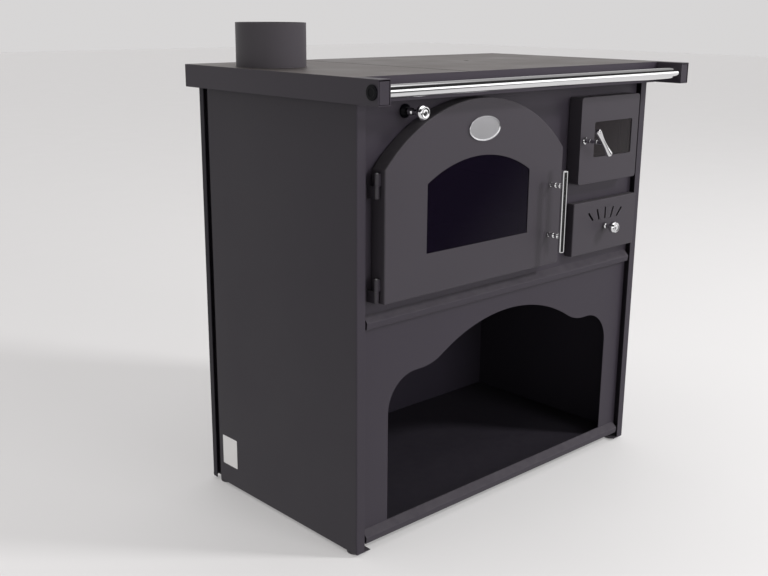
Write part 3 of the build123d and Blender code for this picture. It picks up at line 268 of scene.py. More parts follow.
class BrushLines(Effect):
    """Fine parallel lines that rolling or polishing leaves in bare metal."""

    name = "brush_lines"
    numbers = {"Along X": 4.0, "Along Y": 900.0, "Along Z": 900.0, "Smudges per metre": 7.0}
    outputs = ("Height", "Smudge")

    @classmethod
    def fill(cls, graph: Graph, inside: Node) -> dict[str, NodeSocket]:
        """Adds noise that is drawn out along one axis, and soft smudges.

        Args:
            graph: the group's tree.
            inside: the group's input node.

        Returns:
            Height of the lines and the smudges, each from 0 to 1.
        """
        place = graph.point()
        sizes = {axis: inside.outputs[f"Along {axis}"] for axis in "XYZ"}
        stretch = graph.add("CombineXYZ", sizes).outputs["Vector"]
        drawn = graph.add("VectorMath", {0: place, 1: stretch}, operation="MULTIPLY").outputs["Vector"]
        lines = graph.noise(drawn, 1.0, detail=3.0, roughness=0.65)
        smudge = graph.noise(place, inside.outputs["Smudges per metre"], detail=5.0, roughness=0.6)
        return {"Height": lines, "Smudge": smudge}


# Finishes

@dataclass(frozen=True)
class Finish:
    """Surface of some pieces: a material that is built once."""

    name: str
    colour: Colour
    roughness: float

    def material(self) -> Material:
        """Makes the finish's material on the first call.

        Returns:
            The material.
        """
        known = bpy.data.materials.get(self.name)
        if known:
            return known
        made = bpy.data.materials.new(self.name)
        made.use_nodes = True
        made.diffuse_color = (*self.colour, 1.0)
        shader = made.node_tree.nodes["Principled BSDF"]
        shader.inputs["Base Color"].default_value = (*self.colour, 1.0)
        shader.inputs["Roughness"].default_value = self.roughness
        self.dress(Graph(made.node_tree), shader)
        return made

    def dress(self, graph: Graph, shader: Node) -> None:
        """Adds what this kind of finish shows."""
        raise NotImplementedError

    def tinted(self, amount: float) -> tuple[float, float, float, float]:
        """Returns the colour times an amount."""
        return (*(channel * amount for channel in self.colour), 1.0)


@dataclass(frozen=True)
class Paint(Finish):
    """Powder coat or stove enamel on sheet steel."""

    grains: float = 700.0
    grain_depth: float = 0.00012
    grain_strength: float = 0.35
    patchiness: float = 0.12
    dust: float = 0.10
    dust_colour: Colour = (0.42, 0.41, 0.40)
    sheen_spread: float = 0.08
    gloss: float = 0.5

    def dress(self, graph: Graph, shader: Node) -> None:
        """Adds grain, cloudy patches and a little dust.

        Args:
            graph: the material's tree.
            shader: the Principled BSDF.
        """
        grain = PaintGrain.place(graph, **{"Grains per metre": self.grains})
        dust = SettledDust.place(graph, Amount=self.dust)
        patch = grain.outputs["Patch"]
        coat = graph.mix(patch, self.tinted(1 - self.patchiness), self.tinted(1 + self.patchiness))
        sheen = (self.roughness - self.sheen_spread, self.roughness + self.sheen_spread)
        graph.feed(shader, {
            "Base Color": graph.mix(dust.outputs["Mask"], coat, (*self.dust_colour, 1.0)),
            "Roughness": graph.spread(patch, *sheen),
            "Normal": graph.bump(self.grain_strength, self.grain_depth, grain.outputs["Height"]),
        })
        shader.inputs["Specular IOR Level"].default_value = self.gloss


@dataclass(frozen=True)
class Metal(Finish):
    """Bare or plated metal with the lines of its rolling or polishing."""

    lines: tuple[float, float, float] = (4.0, 900.0, 900.0)
    line_depth: float = 0.00004
    line_strength: float = 0.2
    smudging: float = 0.05
    smudge_sheen: float = 4.0
    # Tone of the painted shade on faces that tilt away from up, and the rise over which that shade fades out.
    seam_shade_tone: float = 1.0
    seam_shade_rise: tuple[float, float] = (0.8, 0.97)

    def dress(self, graph: Graph, shader: Node) -> None:
        """Adds lines and smudges, and paints shade on faces that look less than straight up, such as a
        plate's sides in the seams between plates.

        Args:
            graph: the material's tree.
            shader: the Principled BSDF.
        """
        sizes = {f"Along {axis}": size for axis, size in zip("XYZ", self.lines)}
        brush = BrushLines.place(graph, **sizes)
        smudge = brush.outputs["Smudge"]
        tone = graph.mix(smudge, self.tinted(1 - self.smudging), self.tinted(1 + self.smudging))
        # Painted shade: faces that tilt away from up get a darker tone, so the seams between plates read
        # dark.
        if self.seam_shade_tone < 1.0:
            unshaded_top = graph.share(graph.rise(), *self.seam_shade_rise)
            tone = graph.mix(unshaded_top, self.tinted(self.seam_shade_tone), tone)
        sheen = [self.roughness * (1 + sign * self.smudging * self.smudge_sheen) for sign in (-1, 1)]
        graph.feed(shader, {
            "Base Color": tone,
            "Roughness": graph.spread(smudge, *sheen),
            "Normal": graph.bump(self.line_strength, self.line_depth, brush.outputs["Height"]),
        })
        shader.inputs["Metallic"].default_value = 1.0


@dataclass(frozen=True)
class Casting(Finish):
    """Rough cast iron or pressed refractory slab."""

    pits_per_metre: float = 420.0
    pit_depth: float = 0.0004
    pit_strength: float = 0.6
    pit_tones: tuple[float, float] = (0.7, 1.25)
    stain: Colour = (0.02, 0.018, 0.016)
    stain_amount: float = 0.5
    stains_per_metre: float = 14.0
    metallic: float = 0.0

    def dress(self, graph: Graph, shader: Node) -> None:
        """Adds pits and soot stains.

        Args:
            graph: the material's tree.
            shader: the Principled BSDF.
        """
        grain = PaintGrain.place(graph, **{"Grains per metre": self.pits_per_metre,
                                           "Patches per metre": self.stains_per_metre})
        speck = graph.mix(grain.outputs["Speckle"], *(self.tinted(tone) for tone in self.pit_tones))
        soot = graph.math("MULTIPLY", grain.outputs["Patch"], self.stain_amount)
        graph.feed(shader, {
            "Base Color": graph.mix(soot, speck, (*self.stain, 1.0)),
            "Normal": graph.bump(self.pit_strength, self.pit_depth, grain.outputs["Height"]),
        })
        shader.inputs["Metallic"].default_value = self.metallic


@dataclass(frozen=True)
class Glass(Finish):
    """Heat-proof glass, clear or smoked, with faint wiping marks."""

    transmission: float = 0.0
    ior: float = 1.5
    marks: float = 0.05
    marks_per_metre: tuple[float, float, float] = (30.0, 30.0, 9.0)
    gloss: float = 0.2
    alpha: float = 1.0

    def dress(self, graph: Graph, shader: Node) -> None:
        """Adds wiping marks to the roughness.

        Args:
            graph: the material's tree.
            shader: the Principled BSDF.
        """
        sizes = {f"Along {axis}": size for axis, size in zip("XYZ", self.marks_per_metre)}
        brush = BrushLines.place(graph, **sizes)
        rough = graph.spread(brush.outputs["Smudge"], self.roughness, self.roughness + self.marks)
        graph.feed(shader, {"Roughness": rough})
        shader.inputs["Transmission Weight"].default_value = self.transmission
        shader.inputs["IOR"].default_value = self.ior
        shader.inputs["Specular IOR Level"].default_value = self.gloss
        shader.inputs["Alpha"].default_value = self.alpha


@dataclass(frozen=True)
class Rope(Finish):
    """Woven glass-fibre seal: crossed strands."""

    wave_scale: float = 70.0
    wave_distortion: float = 0.6
    strand_depth: float = 0.0006
    strand_strength: float = 0.8
    strand_tones: tuple[float, float] = (0.55, 1.3)

    def dress(self, graph: Graph, shader: Node) -> None:
        """Adds two crossing sets of waves.

        Args:
            graph: the material's tree.
            shader: the Principled BSDF.
        """
        place = graph.point()
        waves = []
        for slant in (math.pi / 4, -math.pi / 4):
            values = {"Vector": place, "Rotation": (0.0, slant, 0.0)}
            turned = graph.add("Mapping", values).outputs["Vector"]
            values = {"Vector": turned, "Scale": self.wave_scale, "Distortion": self.wave_distortion}
            waves.append(graph.add("TexWave", values, bands_direction="X").outputs["Fac"])
        weave = graph.math("MULTIPLY", *waves)
        graph.feed(shader, {
            "Base Color": graph.mix(weave, *(self.tinted(tone) for tone in self.strand_tones)),
            "Normal": graph.bump(self.strand_strength, self.strand_depth, weave),
        })


BODY = Paint("body_powder_coat", (0.0210, 0.0176, 0.0236), 0.55, gloss=0.3)
DOOR = Paint("door_enamel", (0.0258, 0.0224, 0.0276), 0.5, grain_strength=0.25, gloss=0.3)
LINING = Paint("lining_paint", (0.0125, 0.0105, 0.0155), 0.62, dust=0.03, gloss=0.25)
HOB_SKIRT = Paint("hob_skirt_paint", (0.0242, 0.0200, 0.0272), 0.5, gloss=0.3)
FLUE = Paint("flue_paint", (0.034, 0.030, 0.035), 0.55, grains=500.0, gloss=0.35)
BLACK_STEEL = Paint("heatproof_black", (0.018, 0.015, 0.020), 0.45)
BLACK_PLASTIC = Paint("plug_plastic", (0.002, 0.002, 0.003), 0.35, grains=1500.0, grain_strength=0.1,
                      dust=0.0, gloss=0.08)
STICKER = Paint("blank_label", (0.72, 0.71, 0.70), 0.4, grain_strength=0.05, patchiness=0.02, dust=0.0)
# The hob plate steel gets painted shade on its sides, so the seams between the plates read dark.
PLATE_STEEL = Metal("hob_plate_steel", (0.150, 0.135, 0.130), 0.48, line_strength=0.3, smudging=0.09,
                    seam_shade_tone=0.12)
OVEN_STEEL = Metal("oven_sheet_steel", (0.30, 0.30, 0.31), 0.42)
ZINC = Metal("zinc_plating", (0.42, 0.42, 0.43), 0.38)
CHROME = Metal("polished_chrome", (0.74, 0.74, 0.75), 0.09, line_strength=0.04, smudging=0.03)
BADGE = Metal("bare_polished_plate", (0.60, 0.60, 0.62), 0.24, lines=(700.0, 700.0, 8.0))
IRON = Casting("grate_iron", (0.030, 0.029, 0.030), 0.72, metallic=0.4)
BRICK = Casting("refractory_slab", (0.40, 0.31, 0.22), 0.9, pits_per_metre=900.0, pit_depth=0.00012,
                stain_amount=0.9)
OVEN_GLASS = Glass("smoked_oven_glass", (0.003, 0.002, 0.005), 0.03, alpha=0.86, gloss=0.15)
FIRE_GLASS = Glass("firebox_glass", (0.008, 0.006, 0.007), 0.03, alpha=0.7, gloss=0.35)
SEAL = Rope("woven_seal", (0.075, 0.070, 0.065), 0.95)

SLOT_FINISHES = {
    "body_paint": BODY,
    "hob_paint": FLUE,
    "hob_steel": PLATE_STEEL,
    "door_paint": DOOR,
    "inner_steel": LINING,
    "chrome": CHROME,
    "black_plastic": BLACK_PLASTIC,
    "black_steel": BLACK_STEEL,
    "cast_iron": IRON,
    "firebrick": BRICK,
    "zinc_steel": ZINC,
    "oven_steel": OVEN_STEEL,
    "door_glass": OVEN_GLASS,
    "seal": SEAL,
    "plate": BADGE,
}
NODE_FINISHES = {"firebox_door_glass": FIRE_GLASS, "top_frame": HOB_SKIRT, "bottom_panel": LINING}


def dress_nodes() -> None:
    """Gives every CAD node the finish of its slot, or its own."""
    for part in frame["record"]["subparts"]:
        name = part["node"]
        finish = NODE_FINISHES.get(name, SLOT_FINISHES[part["material_slot"]])
        mesh = frame["nodes"][name].data
        mesh.materials.clear()
        mesh.materials.append(finish.material())
        log.info("node %s has %s", name, finish.name)


# Forms

def edges_of(verts: Iterable[BMVert]) -> list[BMEdge]:
    """Returns the edges that meet at some vertices."""
    return list({edge for vert in verts for edge in vert.link_edges})


def only(kind: type, items: Iterable) -> list:
    """Returns the vertices, the edges or the faces among some items."""
    return [item for item in items if isinstance(item, kind)]


def run(edge: BMEdge) -> Vector:
    """Returns how far an edge runs along X, Y and Z."""
    first, second = (vert.co for vert in edge.verts)
    return Vector([abs(step) for step in second - first])


def at_depth(point: Vector, depth: float) -> Vector:
    """Returns a point's copy at another Y."""
    return Vector((point.x, depth, point.z))


def metres(outline_mm: Outline) -> list[tuple[float, float]]:
    """Returns an outline given in millimetres."""
    return [(radius * MM, height * MM) for radius, height in outline_mm]


class Form:
    """Mesh in the making, in the frame of the whole stove."""

    merge = 1e-6
    smooth_below_deg = 40.0
    soften_above_deg = 35.0

    def __init__(self) -> None:
        """Starts an empty mesh."""
        self.bm = bmesh.new()

    def block(self, low: Vector, high: Vector) -> None:
        """Adds a block between two corners."""
        place = Matrix.Translation((low + high) / 2) @ Matrix.Diagonal((*(high - low), 1.0))
        bmesh.ops.create_cube(self.bm, size=1.0, matrix=place)

    def turned(self, outline: Outline, at: Vector, facing: Facing = Facing.UP, steps: int = 48,
               tilt: Matrix = Matrix.Identity(4)) -> None:
        """Spins a half outline into a round form.

        Args:
            outline: radius and height of each point, from one end to the other.
            at: place of the outline's foot.
            facing: way that the form's height runs.
            steps: sides of the round.
            tilt: turn of the form in place.
        """
        old = set(self.bm.verts)
        line = [self.bm.verts.new((radius, 0.0, height)) for radius, height in outline]
        edges = [self.bm.edges.new(pair) for pair in zip(line, line[1:])]
        bmesh.ops.spin(self.bm, geom=line + edges, cent=(0, 0, 0), axis=(0, 0, 1), angle=math.tau,
                       steps=steps, use_merge=True)
        fresh = [vert for vert in self.bm.verts if vert not in old]
        bmesh.ops.remove_doubles(self.bm, verts=fresh, dist=self.merge / 10)
        fresh = [vert for vert in self.bm.verts if vert not in old]
        place = Matrix.Translation(at) @ tilt @ Euler(facing.value).to_matrix().to_4x4()
        bmesh.ops.transform(self.bm, matrix=place, verts=fresh)

    def line(self, points: Iterable[Vector]) -> list[BMEdge]:
        """Joins points into an open line and returns its edges."""
        corners = [self.bm.verts.new(point) for point in points]
        return [self.bm.edges.new(pair) for pair in zip(corners, corners[1:])]

    def loop(self, points: Iterable[Vector]) -> list[BMEdge]:
        """Joins points into a closed line and returns its edges."""
        corners = [self.bm.verts.new(point) for point in points]
        return [self.bm.edges.new(pair) for pair in zip(corners, corners[1:] + corners[:1])]

    def rectangle(self, low: Vector, high: Vector, corner: float = 0.0, lean: float = 0.0) -> list[BMEdge]:
        """Adds a front-view rectangle at the depth of low.

        Args:
            low: lower left corner.
            high: upper right corner.
            corner: radius of its corners.
            lean: its turn about its middle, clockwise as seen from the front.

        Returns:
            The rectangle's edges.
        """
        corners = ((low.x, low.z), (high.x, low.z), (high.x, high.z), (low.x, high.z))
        edges = self.loop(Vector((x, low.y, z)) for x, z in corners)
        verts = list({vert for edge in edges for vert in edge.verts})
        middle = (low + high) / 2
        bmesh.ops.rotate(self.bm, cent=middle, matrix=Matrix.Rotation(lean, 3, "Y"), verts=verts)
        return self.blunted(verts, corner, segments=6) if corner else edges

    def blunted(self, corners: list[BMVert], radius: float, segments: int) -> list[BMEdge]:
        """Rounds the corners of a flat outline and returns its edges."""
        made = bmesh.ops.bevel(self.bm, geom=corners, offset=radius, offset_type="OFFSET", segments=segments,
                               profile=0.5, affect="VERTICES", clamp_overlap=True, material=-1)
        return edges_of(made["verts"])

    def circle(self, middle: Vector, radius: float, rise: float = 1.0, steps: int = 40) -> list[BMEdge]:
        """Adds a front-view circle or ellipse.

        Args:
            middle: its middle.
            radius: half its width.
            rise: its height as a share of its width.
            steps: its sides.

        Returns:
            Its edges.
        """
        place = Matrix.Translation(middle) @ Euler(Facing.FRONT.value).to_matrix().to_4x4()
        made = bmesh.ops.create_circle(self.bm, cap_ends=False, segments=steps, radius=radius,
                                       matrix=place @ Matrix.Diagonal((1.0, rise, 1.0, 1.0)))
        return edges_of(made["verts"])

    def arch(self, low: Vector, high: Vector, radius: float, steps: int = 40) -> list[BMEdge]:
        """Adds a front-view outline with a sill, two upright sides and one arc, at the depth of low.

        Args:
            low: lower left corner.
            high: right side and crown.
            radius: radius of the arc.
            steps: sides of the arc.

        Returns:
            The outline's edges.
        """
        half = (high.x - low.x) / 2
        drop = math.sqrt(radius ** 2 - half ** 2)
        middle = Vector((low.x + half, low.y, high.z - radius))
        shoulder = self.bm.verts.new((high.x, low.y, middle.z + drop))
        old = set(self.bm.edges)
        made = bmesh.ops.spin(self.bm, geom=[shoulder], cent=middle, axis=(0, 1, 0),
                              angle=-2 * math.atan2(half, drop), steps=steps)
        far = only(BMVert, made["geom_last"])[0]
        foot = self.bm.verts.new((low.x, low.y, low.z))
        heel = self.bm.verts.new((high.x, low.y, low.z))
        arc = [edge for edge in self.bm.edges if edge not in old]
        return arc + [self.bm.edges.new(pair) for pair in ((far, foot), (foot, heel), (heel, shoulder))]

    def ring(self, outer: list[BMEdge], inner: list[BMEdge]) -> list[BMFace]:
        """Fills the band between two closed lines of one plane and returns its faces."""
        made = bmesh.ops.triangle_fill(self.bm, edges=outer + inner, use_beauty=True)
        return only(BMFace, made["geom"])

    def band(self, outer: list[BMEdge], inner: list[BMEdge]) -> list[BMFace]:
        """Bridges two closed lines that have as many points each and returns the faces."""
        return bmesh.ops.bridge_loops(self.bm, edges=outer + inner)["faces"]

    def cap(self, edges: list[BMEdge]) -> BMFace:
        """Fills a closed line with one face."""
        return bmesh.ops.contextual_create(self.bm, geom=edges)["faces"][0]

    def push(self, edges: list[BMEdge], step: Vector) -> list[BMEdge]:
        """Draws edges out into walls.

        Args:
            edges: the edges.
            step: how far they are drawn.

        Returns:
            The far edges.
        """
        made = bmesh.ops.extrude_edge_only(self.bm, edges=edges)["geom"]
        bmesh.ops.translate(self.bm, vec=step, verts=only(BMVert, made))
        return only(BMEdge, made)

    def thicken(self, faces: list[BMFace], step: Vector) -> None:
        """Draws flat faces out into a solid slab."""
        made = bmesh.ops.extrude_face_region(self.bm, geom=faces, use_keep_orig=True)["geom"]
        bmesh.ops.translate(self.bm, vec=step, verts=only(BMVert, made))

    def folds(self, over_deg: float = 30.0) -> list[BMEdge]:
        """Finds the edges where two faces meet at more than an angle.

        Args:
            over_deg: the angle between the faces' normals.

        Returns:
            The edges.
        """
        bmesh.ops.recalc_face_normals(self.bm, faces=self.bm.faces)
        limit = math.radians(over_deg)
        return [edge for edge in self.bm.edges if edge.is_manifold and edge.calc_face_angle() > limit]

    def rounded(self, edges: Iterable[BMEdge], radius: float, segments: int = 3) -> None:
        """Rounds edges.

        Args:
            edges: the edges to round.
            radius: radius of the round.
            segments: faces across the round.
        """
        bmesh.ops.bevel(self.bm, geom=list(edges), offset=radius, offset_type="OFFSET", segments=segments,
                        profile=0.5, affect="EDGES", clamp_overlap=True, material=-1)

    def finish(self, name: str, node: str, finish: Finish | None = None, wall: float = 0.0,
               edge: float = 0.0, stands_in: bool = True) -> Object:
        """Ends the form as a piece of the scene.

        Args:
            name: the piece's name.
            node: the CAD node whose body the piece rides on, and whose finish it takes when none is given.
            finish: its finish, where that isn't the node's own.
            wall: thickness to give to open sheet, inwards.
            edge: radius to give to the edges that are still sharp.
            stands_in: whether the piece hides the node.

        Returns:
            The piece.
        """
        bmesh.ops.remove_doubles(self.bm, verts=self.bm.verts, dist=self.merge)
        bmesh.ops.recalc_face_normals(self.bm, faces=self.bm.faces)
        mesh = bpy.data.meshes.new(name)
        self.bm.to_mesh(mesh)
        self.bm.free()
        mesh.shade_smooth()
        mesh.set_sharp_from_angle(angle=math.radians(self.smooth_below_deg))
        mesh.materials.append((finish or finish_of(node)).material())
        piece = bpy.data.objects.new(name, mesh)
        bpy.context.scene.collection.objects.link(piece)
        if wall:
            sheet = piece.modifiers.new("wall", "SOLIDIFY")
            sheet.thickness = wall
            sheet.offset = -1.0
            sheet.use_even_offset = True
        if edge:
            softened = piece.modifiers.new("edge", "BEVEL")
            softened.width = edge
            softened.segments = 2
            softened.limit_method = "ANGLE"
            softened.angle_limit = math.radians(self.soften_above_deg)
            softened.use_clamp_overlap = True
        level = piece.modifiers.new("level", "WEIGHTED_NORMAL")
        level.keep_sharp = True
        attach(piece, body_of(node))
        slot_of(node)
        if stands_in:
            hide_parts(node)
        log.info("piece %s, %d faces, rides on %s", name, len(mesh.polygons), body_of(node))
        return piece


def slot_of(node: str) -> str:
    """Returns the record's material slot of a CAD node."""
    return next(part["material_slot"] for part in frame["record"]["subparts"] if part["node"] == node)


def body_of(node: str) -> str:
    """Returns the body that a CAD node rides on."""
    bodies = frame["record"]["behaviour"]["bodies"]
    return next(body for body, nodes in bodies.items() if node in nodes)


def finish_of(node: str) -> Finish:
    """Returns the finish of a CAD node: its own, or its slot's."""
    return NODE_FINISHES.get(node, SLOT_FINISHES[slot_of(node)])


def cushion(outline: Outline, radius: float, steps: int = 4) -> list[tuple[float, float]]:
    """Rounds the corners of a half outline, apart from its two ends.

    Args:
        outline: radius and height of each point.
        radius: radius of the rounds, shortened where a side is short.
        steps: sides of each round.

    Returns:
        The rounded outline.
    """
    nearly_half = 1 / 2.01
    points = [Vector(point) for point in outline]
    rounded = [points[0]]
    for before, corner, after in zip(points, points[1:], points[2:]):
        reach = min(radius, *((end - corner).length * nearly_half for end in (before, after)))
        start = corner + (before - corner).normalized() * reach
        end = corner + (after - corner).normalized() * reach
        for step in range(steps + 1):
            along = step / steps
            rounded.append(start.lerp(corner, along).lerp(corner.lerp(end, along), along))
    rounded.append(points[-1])
    return [(point.x, point.y) for point in rounded]


# Doors and drawer

def pan(form: Form, outer: list[BMEdge], holes: list[list[BMEdge]], depth: float, fold: float) -> None:
    """Folds a sheet back round its outline.

    Args:
        form: the mesh in the making.
        outer: outline of the sheet's face.
        holes: outlines cut through the face.
        depth: how far the walls run back.
        fold: radius of the folds.
    """
    form.ring(outer, [edge for hole in holes for edge in hole])
    form.push(outer, BACKWARD * depth)
    form.rounded(form.folds(), fold, segments=4)


def rope(form: Form, faces: list[BMFace], depth: float, name: str, node: str) -> None:
    """Draws a flat ring out into a rope seal with a rounded section.

    Args:
        form: the mesh in the making.
        faces: the ring.
        depth: thickness of the rope.
        name: the piece's name.
        node: the CAD node that it stands for.
    """
    share_rounded = 0.4
    form.thicken(faces, BACKWARD * depth)
    form.rounded(form.folds(over_deg=60), depth * share_rounded, segments=5)
    form.finish(name, node)


def bead(neck: float, radius: float, middle: float, length: float) -> list[tuple[float, float]]:
    """Shapes the swelling of a turned bead on a neck.

    Args:
        neck: radius beside the bead.
        radius: radius of the bead.
        middle: height of the bead's middle.
        length: its length.

    Returns:
        Radius and height of each point.
    """
    steps = 8
    fullness = 0.6
    spots = [step / steps for step in range(steps + 1)]
    swelling = [math.sin(math.pi * spot) ** fullness for spot in spots]
    return [(neck + (radius - neck) * swell, middle + length * (spot - 0.5))
            for spot, swell in zip(spots, swelling)]


@dataclass
class Mushroom:
    """Mushroom knob with a dimpled face on a collared stem, facing the front.

    The cap's profile gives shares of the knob's radius, and millimetres behind its face.
    """

    name: str
    node: str
    collar: float
    collar_foot: float
    collar_length: float
    stem: float = 4.0 * MM
    stem_top: float = 4.2 * MM
    stem_slope: float = 2.5 * MM
    neck: float = 5.2 * MM
    neck_behind: float = 15.5 * MM
    cap: Outline = ((0.8, 14.0), (1.0, 10.5), (1.0, 5.5), (0.78, 0.0), (0.42, 0.5), (0.3, 0.1), (0.0, 0.1))
    soft: float = 1.8 * MM
    steps: int = 64

    def build(self) -> None:
        """Turns the knob in the place of its CAD node."""
        low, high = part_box(self.node)
        radius = (high.x - low.x) / 2
        face = high.y - low.y
        shoulder = self.collar_foot + self.collar_length
        outline = [(0.0, 0.0), (self.stem, 0.0), (self.stem, self.collar_foot),
                   (self.collar, self.collar_foot), (self.collar, shoulder),
                   (self.stem_top, shoulder + self.stem_slope), (self.neck, face - self.neck_behind)]
        outline += [(radius * share, face - behind * MM) for share, behind in self.cap]
        form = Form()
        at = at_depth((low + high) / 2, high.y)
        form.turned(cushion(outline, self.soft), at, Facing.FRONT, self.steps)
        form.finish(self.name, self.node)


@dataclass
class OvenDoor:
    """Arched door: pan, bare oval plate, upright bar on two turned stems, and rope seal."""

    arch_radius: float = 315.4 * MM
    window_radius: float = 264.2 * MM
    seal_radius: float = 287.9 * MM
    seal_width: float = 10 * MM
    glass_lap: float = 12 * MM
    sheet: float = 1.5 * MM
    fold: float = 2.4 * MM
    cut_edge: float = 0.35 * MM
    plate_steps: int = 72
    plate_rim: float = 1.35 * MM
    plate_slope: float = 1.65 * MM
    plate_dish: float = 1.1 * MM
    plate_edge: float = 0.5 * MM
    bar_end: float = 2.6 * MM
    stem_radius: float = 3.5 * MM
    foot_radius: float = 4.2 * MM
    foot_length: float = 2.0 * MM
    foot_slope: float = 0.4 * MM
    bead_radius: float = 5.5 * MM
    bead_length: float = 7.0 * MM
    bead_middles: tuple[float, float] = (13 * MM, 23 * MM)

    def pan(self) -> None:
        """Folds the door's sheet round its arch and cuts the window."""
        low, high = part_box("oven_door_panel")
        lap = Vector((self.glass_lap, 0.0, self.glass_lap))
        glass_low, glass_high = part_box("oven_door_glass")
        form = Form()
        outer = form.arch(low, high, self.arch_radius)
        window = form.arch(at_depth(glass_low + lap, low.y), glass_high - lap, self.window_radius)
        pan(form, outer, [window], high.y - low.y, self.fold)
        form.finish("oven_door_pan", "oven_door_panel", wall=self.sheet, edge=self.cut_edge)

    def seal(self) -> None:
        """Lays the rope seal round the oven's opening."""
        low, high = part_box("oven_door_gasket")
        inset = Vector((self.seal_width, 0.0, self.seal_width))
        form = Form()
        outer = form.arch(low, high, self.seal_radius)
        inner = form.arch(low + inset, high - inset, self.seal_radius - self.seal_width)
        rope(form, form.band(outer, inner), high.y - low.y, "oven_rope_seal", "oven_door_gasket")

    def plate(self) -> None:
        """Makes the bare oval plate with its raised rim."""
        low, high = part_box("oven_badge_plate")
        size = high - low
        middle = at_depth((low + high) / 2, high.y)
        form = Form()
        outline = form.circle(middle, size.x / 2, size.z / size.x, self.plate_steps)
        form.push(outline, BACKWARD * -size.y)
        front = high.y - self.sheet
        face = form.cap([edge for edge in form.bm.edges if edge.is_boundary and edge.verts[0].co.y < front])
        for width, dish in ((self.plate_rim, 0.0), (self.plate_slope, self.plate_dish)):
            bmesh.ops.inset_individual(form.bm, faces=[face], thickness=width, depth=-dish)
        form.finish("oval_plate", "oven_badge_plate", edge=self.plate_edge)

    def handle(self) -> None:
        """Turns the upright bar and its two beaded stems."""
        low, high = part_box("oven_handle_bar")
        middle = (low + high) / 2
        radius = (high.x - low.x) / 2
        length = high.z - low.z
        bar = Form()
        outline = cushion([(0.0, 0.0), (radius, 0.0), (radius, length), (0.0, length)], self.bar_end)
        bar.turned(outline, Vector((middle.x, middle.y, low.z)))
        bar.finish("oven_bar", "oven_handle_bar")
        stem_low, stem_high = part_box("oven_handle_stems")
        face = stem_high.y
        stem = [(0.0, 0.0), (self.foot_radius, 0.0), (self.foot_radius, self.foot_length),
                (self.stem_radius, self.foot_length + self.foot_slope)]
        for up in self.bead_middles:
            stem += bead(self.stem_radius, self.bead_radius, up, self.bead_length)
        stem.append((self.stem_radius, face - middle.y))
        stems = Form()
        for z in (stem_low.z + self.bead_radius, stem_high.z - self.bead_radius):
            stems.turned(stem, Vector((middle.x, face, z)), Facing.FRONT)
        stems.finish("oven_bar_stems", "oven_handle_stems")

    def build(self) -> None:
        """Makes every piece of the door."""
        self.pan()
        self.seal()
        self.plate()
        self.handle()


@dataclass
class FireboxDoor:
    """Flat door: pan with a small window, rope seal, and the turning latch with its bar."""

    corner: float = 6.0 * MM
    window_corner: float = 4.0 * MM
    glass_lap: float = 7.0 * MM
    sheet: float = 1.5 * MM
    fold: float = 2.4 * MM
    cut_edge: float = 0.35 * MM
    seal_width: float = 8.0 * MM
    tilt_deg: float = 41.0
    bar_half_mm: Outline = ((0.0, -34.0), (4.68, -34.0), (6.5, -31.8), (6.305, -28.0), (4.704, -14.28),
                            (4.2, -5.44))
    bar_round: float = 2.0 * MM
    spindle: float = 4.0 * MM
    collar: float = 7.0 * MM
    collar_length: float = 2.2 * MM
    collar_slope: float = 1.2 * MM
    neck: float = 5.0 * MM
    bead_radius: float = 4.8 * MM
    bead_length: float = 7.0 * MM
    bead_middles: tuple[float, float] = (13 * MM, 29 * MM)

    def pan(self) -> None:
        """Folds the door's sheet and cuts the window."""
        low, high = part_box("firebox_door_panel")
        glass_low, glass_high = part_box("firebox_door_glass")
        lap = Vector((self.glass_lap, 0.0, self.glass_lap))
        form = Form()
        outer = form.rectangle(low, at_depth(high, low.y), self.corner)
        window = form.rectangle(at_depth(glass_low + lap, low.y), at_depth(glass_high - lap, low.y),
                                self.window_corner)
        pan(form, outer, [window], high.y - low.y, self.fold)
        form.finish("firebox_door_pan", "firebox_door_panel", wall=self.sheet, edge=self.cut_edge)

    def seal(self) -> None:
        """Lays the rope seal round the firebox's opening."""
        low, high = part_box("firebox_door_gasket")
        front = at_depth(high, low.y)
        inset = Vector((self.seal_width, 0.0, self.seal_width))
        form = Form()
        outer = form.rectangle(low, front, self.seal_width)
        inner = form.rectangle(low + inset, front - inset, self.seal_width / 2)
        rope(form, form.ring(outer, inner), high.y - low.y, "firebox_rope_seal", "firebox_door_gasket")

    def latch(self) -> None:
        """Turns the flared bar and the spindle with its collar."""
        low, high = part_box("latch_bar")
        middle = (low + high) / 2
        arm = metres(self.bar_half_mm)
        outline = cushion(arm + [(radius, -height) for radius, height in reversed(arm)], self.bar_round)
        bar = Form()
        bar.turned(outline, middle, tilt=Matrix.Rotation(math.radians(-self.tilt_deg), 4, "Y"))
        bar.finish("latch_t_bar", "latch_bar")
        spindle_low, spindle_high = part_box("latch_spindle")
        axis = (spindle_low + spindle_high) / 2
        face = spindle_high.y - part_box("firebox_door_panel")[0].y
        shoulder = face + self.collar_length
        body = [(0.0, 0.0), (self.spindle, 0.0), (self.spindle, face), (self.collar, face),
                (self.collar, shoulder), (self.neck, shoulder + self.collar_slope)]
        for out in self.bead_middles:
            body += bead(self.spindle, self.bead_radius, face + out, self.bead_length)
        body.append((self.spindle, spindle_high.y - middle.y))
        spindle = Form()
        spindle.turned(body, at_depth(axis, spindle_high.y), Facing.FRONT)
        spindle.finish("latch_turned_spindle", "latch_spindle")

    def build(self) -> None:
        """Makes every piece of the door and its latch."""
        self.pan()
        self.seal()
        self.latch()


